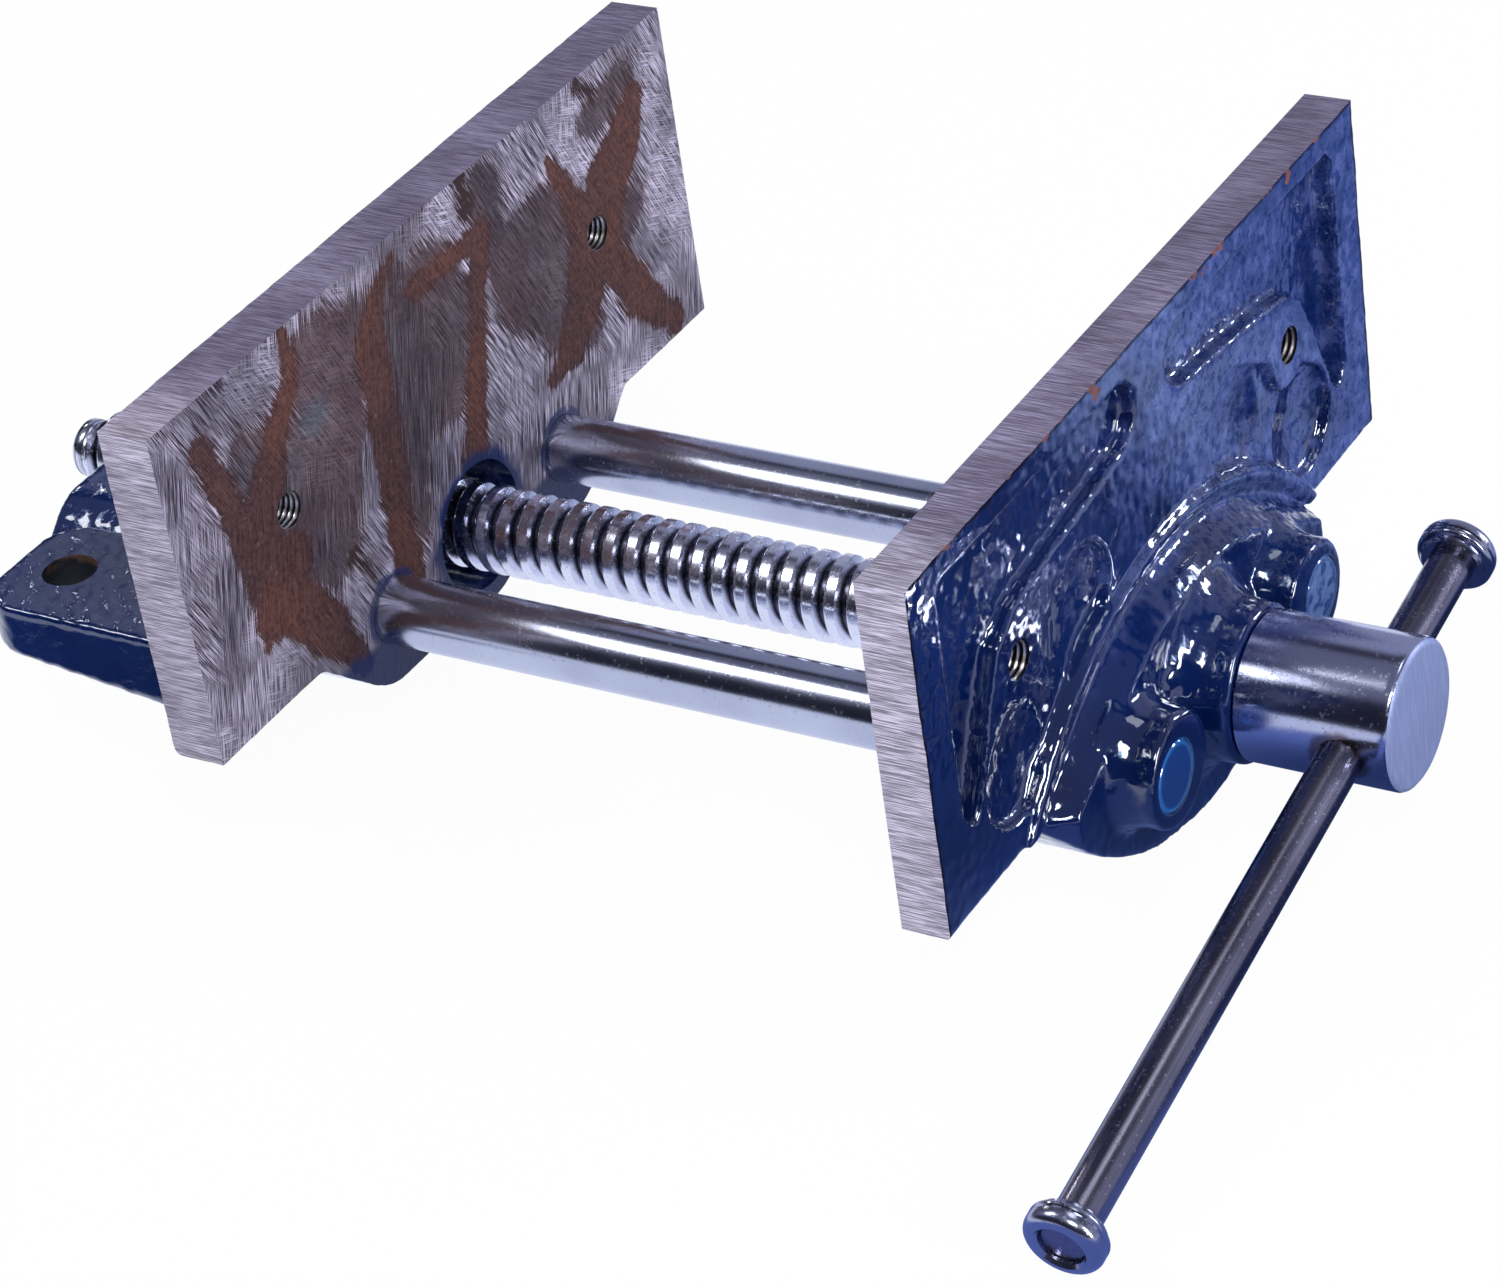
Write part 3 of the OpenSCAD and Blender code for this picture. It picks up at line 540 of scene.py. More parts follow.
ground_face, board, shader, place, colour, covered = ground_finish(
    "ground_face", FILLER, STAIN, SOOT, REAR_FACE)
x, y, z = board.split(place)
ring = board.away(place, (0.0, REAR_FACE, AXIS_Z - 1 * MM))
ring = board.scaled(board.grain(place, 170.0), 7 * MM, ring)
lobe = board.scaled(board.grain(place, 140.0), 6 * MM, z)
collar = board.scaled(board.grain(place, 260.0), 4 * MM, board.from_axis(x, z, ROD_X, AXIS_Z))
stray = board.most(board.ease(ring, 22 * MM, 18 * MM), board.ease(lobe, -20 * MM, -23 * MM))
stray = board.most(stray, board.ease(collar, ROD_R + 3.8 * MM, ROD_R + 3.0 * MM, 0.0, 0.85))
board.feed(shader.inputs, Base_Color=board.mix(stray, colour, STRAY_BLUE),
           Metallic=board.ease(board.most(covered, stray), 0.0, 0.6, 0.8, 0.0),
           Roughness=board.scaled(stray, -0.1, board.scaled(covered, 0.3, 0.42)))
print("ground face drawn")

# %% [markdown]
# The face of the front jaw is hidden in the reference view. It is ground in the same way, with
# two worn strokes of filler only, so that it belongs to the same vise.

# %% Draw the plain ground face
plain_ground, board, shader, place, colour, covered = ground_finish(
    "plain_ground", [((-30, 28), (-24, -6), 3.0, 4.0), ((40, 34), (30, 4), 3.6, 2.6)],
    [((-34, 22), (38, 14), 9.0, 11.0)], [((-60, 51), (-50, 51), 1.0, 1.4)], FRONT_FACE)
board.feed(shader.inputs, Base_Color=colour, Metallic=board.ease(covered, 0.0, 0.6, 0.8, 0.0),
           Roughness=board.scaled(covered, 0.3, 0.42))
print("plain ground face drawn")

# %% [markdown]
# ## Finish: bored iron
# Bores, recesses and cut threads are bare metal. They are seen only as small bright or dark
# spots, so a plain grey with a little grain and dirt is enough. The roots of the tapped threads
# are painted nearly black as shade.

# %% Draw the bored iron
BORE_DARK, BORE_PALE, BORE_DIRT = (0.3, 0.29, 0.31, 1), (0.62, 0.6, 0.63, 1), (0.1, 0.08, 0.08, 1)
ROOT_SHADE_BLACK = (0.02, 0.018, 0.02, 1)

bored_iron, board, shader, place = finish("bored_iron", Metallic=0.85)
grit = board.grain(place, 1400.0)
dirt = board.ease(board.grain(place, 160.0), 0.45, 0.7)
x, y, z = board.split(place)
bolt = board.from_axis(x, z, LINER_X, LINER_Z)
# painted shade: the roots of the tapped threads are darkened nearly to black
root_shade = board.times(board.ease(bolt, 3.45 * MM, 3.85 * MM), board.ease(bolt, 6 * MM, 5 * MM))
bare = board.mix(grit, BORE_DARK, BORE_PALE)
bare = board.mix(dirt, bare, BORE_DIRT)
board.feed(shader.inputs, Base_Color=board.mix(root_shade, bare, ROOT_SHADE_BLACK),
           Roughness=board.scaled(dirt, 0.3, 0.25))
bump(board, shader, grit, 0.03 * MM)
print("bored iron drawn")

# %% [markdown]
# The holes in the lugs were painted over with the rest. Their mouths rust, and deeper down they
# are painted nearly black as shade, so a mask that starts just below the lug's top joins the two.

# %% Draw the lug holes
HOLE_SHADE_BLACK = (0.003, 0.005, 0.011, 1)
CRUST_DARK, CRUST_RED = (0.02, 0.012, 0.01, 1), (0.16, 0.07, 0.035, 1)

shaded_lug_hole, board, shader, place = finish("shaded_lug_hole", Roughness=0.6)
crust = board.grain(place, 700.0, detail=4.0)
mouth = board.times(board.ease(board.split(place)[2], -2.4 * MM, -0.8 * MM),
                    board.ease(board.grain(place, 240.0), 0.4, 0.55))
rust = board.mix(crust, CRUST_DARK, CRUST_RED)
# painted shade: the hole is nearly black below its rusty mouth
board.feed(shader.inputs, Base_Color=board.mix(mouth, HOLE_SHADE_BLACK, rust))
bump(board, shader, crust, 0.2 * MM)
print("lug holes drawn")

# %% [markdown]
# ## Finish: plated and turned steel
# The rods are plated with zinc, the head and the thread are polished, and the handle is darker.
# All of them are one kind of surface with other numbers: a metal with fine specks, faint lines
# from the work that shaped it and slow changes of shade. A function makes each of them, and says
# along which axis the lines run.

# %% Rule for a steel
TIP_GREY, THREAD_GROOVE_SHADE, RIM_RUST = (0.1, 0.1, 0.16, 1), (0.1, 0.1, 0.14, 1), (0.2, 0.11, 0.07, 1)


def steel(name, dark, light, rough, specks, lines_along, line_share, tilt=0.0, tint=None, after=None):
    """A metal with specks and lines; after(board, place, colour) may change its colour by place."""
    material, board, shader, place = finish(name, Metallic=1.0)
    px, py, pz = board.split(board.rotated(place, tilt))
    order = {"X": (py, px, pz), "Y": (px, py, pz), "Z": (px, pz, py)}[lines_along]
    drawn = board.use(fine_lines, board.join(*order), Per_metre=2200.0, Length=0.03, Cover=0.5,
                      Softness=0.2)
    dust = board.use(sparkle, place, Per_metre=2300.0, Amount=specks)
    slow = board.ease(board.grain(place, 40.0), 0.3, 0.7)
    colour = board.mix(slow, dark, light)
    colour = board.mix(board.times(drawn["Lines"], line_share), colour, tint or light)
    colour = board.mix(board.times(dust["Specks"], 0.35), colour, dark)
    if after:
        colour = after(board, place, colour)
    board.feed(shader.inputs, Base_Color=colour,
               Roughness=board.scaled(dust["Specks"], 0.16, board.scaled(slow, 0.05, rough)))
    bump(board, shader, board.scaled(drawn["Height"], line_share * 2, dust["Height"]), 0.007 * MM)
    print("steel", name)
    return material


def shaded_grooves_and_rings(board, place, colour):
    """Painted shade in the thread, dark below the crest, and fine rings on the turned tip."""
    x, y, z = board.split(place)
    # painted shade: the thread is darkened below its crest
    groove = board.times(board.ease(board.from_axis(x, z, 0.0, AXIS_Z), 7.7 * MM, 6.8 * MM),
                         board.ease(y, THREAD_BACK + 0.3 * MM, THREAD_BACK))
    rings = board.grain(board.join(0.0, y, 0.0), 2600.0, detail=1.0)
    dulled = board.mix(0.75, colour, TIP_GREY)
    ringed = board.mix(board.ease(rings, 0.44, 0.54), dulled, colour)
    colour = board.mix(board.ease(y, THREAD_BACK, THREAD_BACK + 0.4 * MM), colour, ringed)
    return board.mix(groove, colour, THREAD_GROOVE_SHADE)


def rusty_rim(board, place, colour):
    """A little rust round the hole that the bar slides in."""
    _, y, z = board.split(board.rotated(place, BAR_TILT, (0, BAR_Y, AXIS_Z)))
    away = board.away(board.join(0.0, y, z), (0.0, BAR_Y, AXIS_Z))
    away = board.scaled(board.grain(place, 260.0), 3.5 * MM, away)
    return board.mix(board.ease(away, 8.2 * MM, 6.6 * MM, 0.0, 0.75), colour, RIM_RUST)


# %% Draw the steels
HEAD_SHADES = (0.5, 0.53, 0.7, 1), (0.62, 0.65, 0.84, 1)
zinc_rod = steel("zinc_rod", (0.46, 0.49, 0.61, 1), (0.58, 0.62, 0.74, 1), 0.16, 0.05, "Y", 0.11)
thread_steel = steel("thread_steel", (0.68, 0.7, 0.82, 1), (0.86, 0.88, 0.98, 1), 0.17, 0.1, "Y", 0.1,
                     after=shaded_grooves_and_rings)
head_steel = steel("head_steel", *HEAD_SHADES, 0.15, 0.07, "Y", 0.12)
head_rusty = steel("head_rusty", *HEAD_SHADES, 0.15, 0.07, "Y", 0.12, after=rusty_rim)
handle_steel = steel("handle_steel", (0.22, 0.21, 0.28, 1), (0.32, 0.31, 0.4, 1), 0.2, 0.06, "X", 0.4,
                     tilt=BAR_TILT, tint=(0.1, 0.09, 0.13, 1))
knob_steel = steel("knob_steel", (0.3, 0.32, 0.42, 1), (0.46, 0.48, 0.62, 1), 0.16, 0.06, "Z", 0.2,
                   tilt=BAR_TILT)
pin_steel = steel("pin_steel", (0.08, 0.08, 0.09, 1), (0.16, 0.16, 0.18, 1), 0.4, 0.1, "Z", 0.2)
nut_iron = steel("nut_iron", (0.16, 0.15, 0.15, 1), (0.3, 0.29, 0.29, 1), 0.42, 0.15, "Z", 0.3)

# %% [markdown]
# The head's front face is another kind of surface: it was brushed flat, so it is duller and
# bluer than the polished barrel, and its short lines all run upright.

# %% Brush the face of the head
BRUSHED_DARK, BRUSHED_PALE = (0.18, 0.22, 0.41, 1), (0.26, 0.31, 0.53, 1)

head_face, board, shader, place = finish("head_face", Metallic=0.35, Roughness=0.42)
x, y, z = board.split(place)
brushed = board.use(fine_lines, board.join(x, z, y), Per_metre=1500.0, Length=0.008, Cover=0.5,
                    Softness=0.3)
board.feed(shader.inputs, Base_Color=board.mix(brushed["Lines"], BRUSHED_DARK, BRUSHED_PALE))
bump(board, shader, brushed["Height"], 0.015 * MM)
print("head face brushed")

# %% [markdown]
# ## Helpers for all the shapes
# One helper adds a round bar, which can fill a bore or drill it. One puts a thing in the scene,
# and one writes a modelled shape to a mesh. The last one works out what the modifiers of an
# object make of it and gives that as a plain mesh, so that no finished piece keeps a modifier.

# %% Helpers for bars, objects and meshes
X, Y, Z = 0, 1, 2  # a point's coordinates, by number


def along(x, z, start, end):
    """The two ends of a bar that lies along Y."""
    return (x, start, z), (x, end, z)


def upright(x, y, low, high):
    """The two ends of a bar that stands along Z."""
    return (x, y, low), (x, y, high)


def round_bar(bm, start, end, radius, sides=48):
    """Adds a closed bar between two points to a mesh."""
    start, end = Vector(start), Vector(end)
    turn = (end - start).to_track_quat("Z", "Y").to_matrix().to_4x4()
    bmesh.ops.create_cone(bm, cap_ends=True, cap_tris=False, segments=sides, radius1=radius,
                          radius2=radius, depth=(end - start).length,
                          matrix=Matrix.Translation((start + end) / 2) @ turn)


def new_object(name, data):
    """Puts a mesh, a lamp or a camera in the scene."""
    thing = bpy.data.objects.new(name, data)
    bpy.context.scene.collection.objects.link(thing)
    return thing


def as_mesh(name, bm):
    """Writes what was modelled to a new mesh, and lets the modelling copy go."""
    mesh = bpy.data.meshes.new(name)
    bm.to_mesh(mesh)
    bm.free()
    return mesh


def worked_out(thing):
    """The plain mesh that an object's modifiers give. The object itself goes."""
    graph = bpy.context.evaluated_depsgraph_get()
    mesh = bpy.data.meshes.new_from_object(thing.evaluated_get(graph))
    bpy.data.objects.remove(thing)
    return mesh


# %% [markdown]
# ## Copying a casting
# The two jaws are single iron castings. The construction model has their exact shape, but with
# ruler-sharp edges and perfectly smooth planes. A real casting is poured oversize and rough, and
# only then machined flat where it has to be. The lesson does the same in that order: copy, close
# the bores, push the faces that get machined 2 mm outwards, re-skin the lot, roughen, cut flat
# and drill. The copy is welded first, because the construction model's mesh is loose triangles.

# %% A copy with its bores closed
ALLOWANCE = 2 * MM  # what is left on a face that gets machined
ON_PLANE = 0.01 * MM


def raw_casting(node, machined, plugs):
    """The node's shape with closed bores and with its machined planes moved outwards."""
    bm = bmesh.new()
    bm.from_mesh(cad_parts[node].data)
    bmesh.ops.remove_doubles(bm, verts=bm.verts, dist=0.002 * MM)
    for vertex in bm.verts:
        for axis, at, side in machined:
            if abs(vertex.co[axis] - at) < ON_PLANE:
                vertex.co[axis] = at + side * ALLOWANCE
    for plug in plugs:
        round_bar(bm, *plug)
    return new_object(node + "_raw", as_mesh(node + "_raw", bm))


# %% [markdown]
# ## Re-skinning it
# A voxel remesh walks over the shape with an even net of small faces, joins everything that
# overlaps, and so swallows the plugs. A few rounds of smoothing then soften each edge as
# a sand mould does. The even net matters for the next step: only a surface with small faces
# everywhere can be made rough by moving its points.

# %% Remesh, soften and bake to a plain mesh
def reskin(raw, name, cell, rounds):
    """The raw casting as one even net of faces of about this size, smoothed for so many rounds."""
    remesh = raw.modifiers.new("net", "REMESH")
    remesh.mode = "VOXEL"
    remesh.voxel_size = cell
    soften = raw.modifiers.new("soften", "SMOOTH")
    soften.factor = 0.5
    soften.iterations = rounds
    mesh = worked_out(raw)
    mesh.name = name
    print(name, "net of", len(mesh.polygons), "faces")
    return mesh


# %% [markdown]
# ## Roughening it
# Each point moves along its own normal by a little noise: broad swells, runs drawn out down the
# casting and a finer grain. The noise is worked out from the point's place, so it is the same on
# each run. A rule of each casting says where less of it is left.

# %% Move the points of a casting
RUN, GRAIN = 0.06 * MM, 0.12 * MM


def roughen(mesh, swell, calm):
    """Moves each point along its normal; calm(co) from 0 to 1 says how much of it is left."""
    bm = bmesh.new()
    bm.from_mesh(mesh)
    bm.normal_update()
    moves = []
    for vertex in bm.verts:
        co = vertex.co
        swells = noise.noise(co * 75.0)
        runs = noise.noise(Vector((co.x * 330.0, co.y * 330.0, co.z * 85.0)))
        grains = noise.noise(co * 520.0)
        moves.append((swells * swell + runs * RUN + grains * GRAIN) * calm(co))
    for vertex, move in zip(bm.verts, moves):
        vertex.co += vertex.normal * move
    print(mesh.name, "moved by up to", round(max(abs(m) for m in moves) / MM, 2), "mm")
    return bm


# %% [markdown]
# ## Cutting it flat
# A cut with a plane takes the allowance off and closes the opening with one new face, exactly as
# the milling cutter leaves it: flat, with a crisp edge that wanders with the rough surface.

# %% Cut off the allowance
def machine_flat(bm, machined):
    """Cuts a mesh on each of these planes, given by axis, place and side, and closes it there."""
    for axis, at, side in machined:
        point, direction = [0.0, 0.0, 0.0], [0.0, 0.0, 0.0]
        point[axis], direction[axis] = at, side
        everything = bm.verts[:] + bm.edges[:] + bm.faces[:]
        bmesh.ops.bisect_plane(bm, geom=everything, dist=0.001 * MM, plane_co=point, plane_no=direction,
                               clear_outer=True)
        rim = [edge for edge in bm.edges if edge.is_boundary]
        bmesh.ops.holes_fill(bm, edges=rim, sides=0)
    big = [face for face in bm.faces if len(face.verts) > 4]
    bmesh.ops.triangulate(bm, faces=big)
    bmesh.ops.recalc_face_normals(bm, faces=bm.faces)
    open_edges = sum(1 for edge in bm.edges if not edge.is_manifold)
    print("cut", len(machined), "planes; open edges:", open_edges)


def cast_and_mill(node, name, face_y, facing, plugs, cell, rounds, swell, calm):
    """A jaw's casting, skinned anew, made rough and cut flat on its top, its ends and its face."""
    machined = [(Z, JAW_TOP, 1), (X, JAW_SIDE, 1), (X, -JAW_SIDE, -1), (Y, face_y, facing)]
    mesh = reskin(raw_casting(node, machined, plugs), name, cell, rounds)
    bm = roughen(mesh, swell, calm)
    machine_flat(bm, machined)
    bm.to_mesh(mesh)
    bm.free()
    return mesh


# %% [markdown]
# ## A thread, by rule
# A thread is one profile that climbs as it turns, so Geometry Nodes can make it from a flat grid:
# the long way of the grid becomes the turns and the short way becomes the profile of one pitch.
# The grid's rows follow the helix, so the crest stays crisp with few faces. The same tree makes
# the big rolled thread of the screw and the small taps that cut the liner holes.

# %% Build the thread's tree
def thread_tree():
    tree = bpy.data.node_groups.new("helical_thread", "GeometryNodeTree")
    for label, kind in (("Turns", "NodeSocketInt"), ("Steps per turn", "NodeSocketInt"),
                        ("Rows per pitch", "NodeSocketInt"), ("Pitch", "NodeSocketFloat"),
                        ("Root radius", "NodeSocketFloat"), ("Crest radius", "NodeSocketFloat"),
                        ("Ridge width", "NodeSocketFloat"), ("Flank width", "NodeSocketFloat"),
                        ("Material", "NodeSocketMaterial")):
        tree.interface.new_socket(label, in_out="INPUT", socket_type=kind)
    tree.interface.new_socket("Geometry", in_out="OUTPUT", socket_type="NodeSocketGeometry")
    board = Sheet(tree)
    given = tree.nodes.new("NodeGroupInput").outputs
    rows, pitch = given["Rows per pitch"], given["Pitch"]
    columns = board.scaled(given["Turns"], given["Steps per turn"], 1.0)
    grid = board.put("GeometryNodeMeshGrid", {"Vertices X": columns, "Vertices Y": rows})
    index = board.put("GeometryNodeInputIndex").outputs[0]
    column = board.math("FLOOR", board.math("DIVIDE", board.plus(index, 0.5), rows))
    row = board.less(index, board.times(column, rows))
    rise = board.times(pitch, board.math("DIVIDE", row, board.less(rows, 1.0)))
    turns = board.math("DIVIDE", column, given["Steps per turn"])
    inside = board.math("MINIMUM", rise, board.less(given["Ridge width"], rise))
    radius = board.ease(inside, 0.0, given["Flank width"], given["Root radius"], given["Crest radius"])
    angle = board.times(turns, math.tau)
    spot = board.join(board.times(radius, board.math("COSINE", angle)), board.scaled(turns, pitch, rise),
                      board.times(radius, board.times(board.math("SINE", angle), -1.0)))
    wound = board.put("GeometryNodeSetPosition", {"Geometry": grid.outputs[0], "Position": spot})
    welded = board.put("GeometryNodeMergeByDistance", {"Geometry": wound.outputs[0], "Distance": 1e-6})
    real = board.put("GeometryNodeRealizeInstances", {0: welded.outputs[0]})
    faced = board.put("GeometryNodeSetMaterial", {"Geometry": real.outputs[0],
                                                  "Material": given["Material"]})
    board.feed(tree.nodes.new("NodeGroupOutput").inputs, Geometry=faced.outputs[0])
    print("thread tree of", len(tree.nodes), "nodes")
    return tree


helical_thread = thread_tree()


# %% [markdown]
# The tree sits on an empty object as a modifier. Its inputs are set by their identifiers, because
# their names are only labels. The result becomes a plain mesh, and its two ends are cut flat.

# %% Wind a thread
def wound_thread(material, start_y, end_y, **sizes):
    """A closed threaded bar on the Y axis, from start_y to end_y, as a bmesh."""
    holder = new_object("thread_holder", bpy.data.meshes.new("thread_holder"))
    modifier = holder.modifiers.new("thread", "NODES")
    modifier.node_group = helical_thread
    keys = {item.name: item.identifier for item in helical_thread.interface.items_tree
            if item.in_out == "INPUT"}
    for label, value in spaced(sizes).items():
        modifier[keys[label]] = value
    modifier[keys["Material"]] = material
    holder.update_tag()
    mesh = worked_out(holder)
    bm = bmesh.new()
    bm.from_mesh(mesh)
    bpy.data.meshes.remove(mesh)
    bmesh.ops.translate(bm, verts=bm.verts, vec=(0, start_y - 2 * sizes["Pitch"], 0))
    machine_flat(bm, [(Y, start_y, -1), (Y, end_y, 1)])
    return bm


# %% [markdown]
# ## Drilling
# Everything that is drilled or tapped is gathered in one cutter mesh and taken away at once.
# A tap is a threaded bar, so the hole keeps real thread turns that catch the light.

# %% Gather the drills and take them away
TAP_R, TAP_PLUG_R, TAP_OVERRUN = 4.1 * MM, 4.9 * MM, 3 * MM
TAP = dict(Steps_per_turn=32, Rows_per_pitch=7, Pitch=1.25 * MM, Root_radius=3.4 * MM,
           Crest_radius=4.0 * MM, Ridge_width=1.2 * MM, Flank_width=0.55 * MM)


def merge_into(target, other):
    """Adds one mesh to another, without joining them."""
    mesh = as_mesh("part", other)
    target.from_mesh(mesh)
    bpy.data.meshes.remove(mesh)


def add_tap(drills, x, z, front, back):
    """Adds a tap along Y at this place; its wound bar is longer than the hole at both ends."""
    turns = int((back - front + 2 * TAP_OVERRUN) / TAP["Pitch"]) + 5
    tap = wound_thread(bored_iron, front - TAP_OVERRUN, back + TAP_OVERRUN, Turns=turns, **TAP)
    bmesh.ops.translate(tap, verts=tap.verts, vec=(x, 0, z))
    merge_into(drills, tap)


def take_away(mesh, rounds, name):
    """The mesh less each of the drill meshes in turn, as a piece."""
    before = len(mesh.polygons)
    for drills in rounds:
        cutter = new_object("drills", as_mesh("drills", drills))
        blank = new_object("blank", mesh)
        cut = blank.modifiers.new("drill", "BOOLEAN")
        cut.operation = "DIFFERENCE"
        cut.solver = "MANIFOLD"
        cut.object = cutter
        mesh = worked_out(blank)
        bpy.data.objects.remove(cutter)
    mesh.name = name
    print(name, "before drilling", before, "faces, after", len(mesh.polygons))
    return new_object(name, mesh)


# %% [markdown]
# ## Giving each face its finish
# After drilling, a face is known by where it lies and which way it looks. A list of rules, tried
# in order, picks the finish: on the clamping plane it is ground, on the top or the ends it is
# milled, inside a bore it is bare, and whatever is left is painted.

# %% Sort the faces by place
def sort_faces(piece, finishes, rules):
    """Gives each face the first finish whose rule holds for its centre and normal, else the last."""
    mesh = piece.data
    mesh.materials.clear()
    for material in finishes:
        mesh.materials.append(material)
    count = len(mesh.polygons)
    centre = np.empty(count * 3, np.float32)
    normal = np.empty(count * 3, np.float32)
    mesh.polygons.foreach_get("center", centre)
    mesh.polygons.foreach_get("normal", normal)
    centre, normal = centre.reshape(-1, 3), normal.reshape(-1, 3)
    chosen = np.full(count, len(finishes) - 1, np.int32)
    for index in reversed(range(len(rules))):
        chosen[rules[index](centre, normal)] = index
    mesh.polygons.foreach_set("material_index", chosen)
    mesh.polygons.foreach_set("use_smooth", np.ones(count, bool))
    mesh.set_sharp_from_angle(angle=math.radians(38))
    print(piece.name, {m.name: int((chosen == i).sum()) for i, m in enumerate(finishes)})


# %% [markdown]
# The rules themselves are small functions that look at all faces at once: one asks for the wall
# of a bore, the other for a machined plane.

# %% Rules for the faces of a jaw
WALL_SLACK = 0.1 * MM


def in_bore(x, z, radius):
    """A rule: the wall of a bore along Y, or of its mirror image."""
    def rule(centre, normal):
        away = np.hypot(np.abs(centre[:, 0]) - x, centre[:, 2] - z)
        return (away < radius + WALL_SLACK) & (np.abs(normal[:, 1]) < 0.95)
    return rule


def on_plane(axis, at, both=False):
    """A rule: a face on a machined plane, or with both, also on its mirror image."""
    def rule(centre, normal):
        place = np.abs(centre[:, axis]) if both else centre[:, axis]
        return (np.abs(place - at) < 0.02 * MM) & (np.abs(normal[:, axis]) > 0.98)
    return rule


def jaw_rules(face_y, rod_bore):
    """The rules that both jaws share: clamping face, top, ends, tapped holes and rod bores."""
    return [on_plane(Y, face_y), on_plane(Z, JAW_TOP), on_plane(X, JAW_SIDE, both=True),
            in_bore(LINER_X, LINER_Z, TAP_R), in_bore(ROD_X, AXIS_Z, rod_bore)]


# %% [markdown]
# ## The front jaw
# The front jaw carries the relief: an arched shoulder with the hub and two rod bosses, a rib that
# follows the arch, and pockets at both ends. Its clamping face, top and ends are machined. The
# rods and the screw pass through it, and two tapped holes take a wooden liner. The hub's end and
# the back are left calmer than the relief.

# %% Cast and machine the front jaw
FRONT_ROD_BORE, SCREW_BORE, PIN_BORE = ROD_R + 0.03 * MM, 9.06 * MM, 2.03 * MM
SCREW_PLUG_R, FRONT_ROD_PLUG_R, PIN_PLUG_R = 9.3 * MM, 7.3 * MM, 2.3 * MM
FRONT_OUTER, BOSS_UNDERSIDE = FRONT_FACE - 9.5 * MM, AXIS_Z - 11.5 * MM
grown = FRONT_FACE + ALLOWANCE
plugs = [(*along(0, AXIS_Z, HUB_FRONT, grown), SCREW_PLUG_R)]
for side in (-1, 1):
    rod_x = side * ROD_X
    plugs.append((*along(rod_x, AXIS_Z, BOSS_FRONT, grown), FRONT_ROD_PLUG_R))
    plugs.append((*along(side * LINER_X, LINER_Z, FRONT_OUTER, grown), TAP_PLUG_R))
    plugs.append((*upright(rod_x, PIN_Y, BOSS_UNDERSIDE, AXIS_Z), PIN_PLUG_R))


def front_calm(co):
    """Full roughness on the relief, less on the hub's own end and at the back."""
    return 1.0 if HUB_FRONT + 3 * MM < co.y < FRONT_FACE - 2 * MM else 0.35


mesh = cast_and_mill("front_jaw", "front_casting", FRONT_FACE, 1, plugs, cell=0.62 * MM, rounds=5,
                     swell=0.18 * MM, calm=front_calm)

# %% Drill the front jaw and sort its faces
drills = bmesh.new()
round_bar(drills, *along(0, AXIS_Z, HUB_FRONT - 5 * MM, grown), SCREW_BORE, 96)
for side in (-1, 1):
    rod_x = side * ROD_X
    round_bar(drills, *along(rod_x, AXIS_Z, BOSS_FRONT - 5 * MM, grown), FRONT_ROD_BORE, 96)
    round_bar(drills, *upright(rod_x, PIN_Y, AXIS_Z - 20 * MM, AXIS_Z - ROD_R - 0.5 * MM), PIN_BORE, 32)
    add_tap(drills, side * LINER_X, LINER_Z, FRONT_OUTER - 1 * MM, FRONT_FACE + 1 * MM)
front_casting = take_away(mesh, [drills], "front_casting")
sort_faces(front_casting, [plain_ground, milled_edge, milled_edge, bored_iron, bored_iron, blue_paint],
           jaw_rules(FRONT_FACE, FRONT_ROD_BORE))

# %% [markdown]
# ## The rear jaw
# The rear jaw is a thicker plate with two lugs that bolt under the bench and a long housing for
# the rods and the nut. A round recess in its face takes the screw's collar when the vise closes.
# Its edges are softer than the front's, because the lugs were dressed by hand before painting.

# %% Cast and machine the rear jaw
REAR_BACK = REAR_FACE + 11.2 * MM
RECESS_R, RECESS_END, CLEAR_R = 13.6 * MM, REAR_FACE + 12.7 * MM, 10.2 * MM
NUT_R, REAR_ROD_BORE = (nut_high.x - nut_low.x) / 2 + 0.03 * MM, ROD_R + 0.06 * MM
LUG_X, LUG_HOLE_R, LUG_FLOOR = 67 * MM, 5.5 * MM, -10.4 * MM
GRUB_Y, HOUSING_UNDERSIDE = nut_low.y + 11 * MM, AXIS_Z - 16.6 * MM
REAR_ROD_PLUG_R, GRUB_PLUG_R, PLUG_EXTRA = 7.4 * MM, 3.4 * MM, 0.3 * MM
grown = REAR_FACE - ALLOWANCE
plugs = [(*along(0, AXIS_Z, grown, RECESS_END + 1 * MM), RECESS_R + PLUG_EXTRA),
         (*along(0, AXIS_Z, REAR_FACE, HOUSING_BACK), NUT_R + PLUG_EXTRA),
         (*upright(0, GRUB_Y, HOUSING_UNDERSIDE, AXIS_Z), GRUB_PLUG_R)]
for side in (-1, 1):
    plugs.append((*along(side * ROD_X, AXIS_Z, grown, HOUSING_BACK), REAR_ROD_PLUG_R))
    plugs.append((*along(side * LINER_X, LINER_Z, grown, REAR_BACK), TAP_PLUG_R))
    plugs.append((*upright(side * LUG_X, 0, LUG_FLOOR, 0), LUG_HOLE_R + PLUG_EXTRA))

mesh = cast_and_mill("rear_jaw", "rear_casting", REAR_FACE, -1, plugs, cell=0.78 * MM, rounds=9,
                     swell=0.16 * MM, calm=lambda co: 1.0)

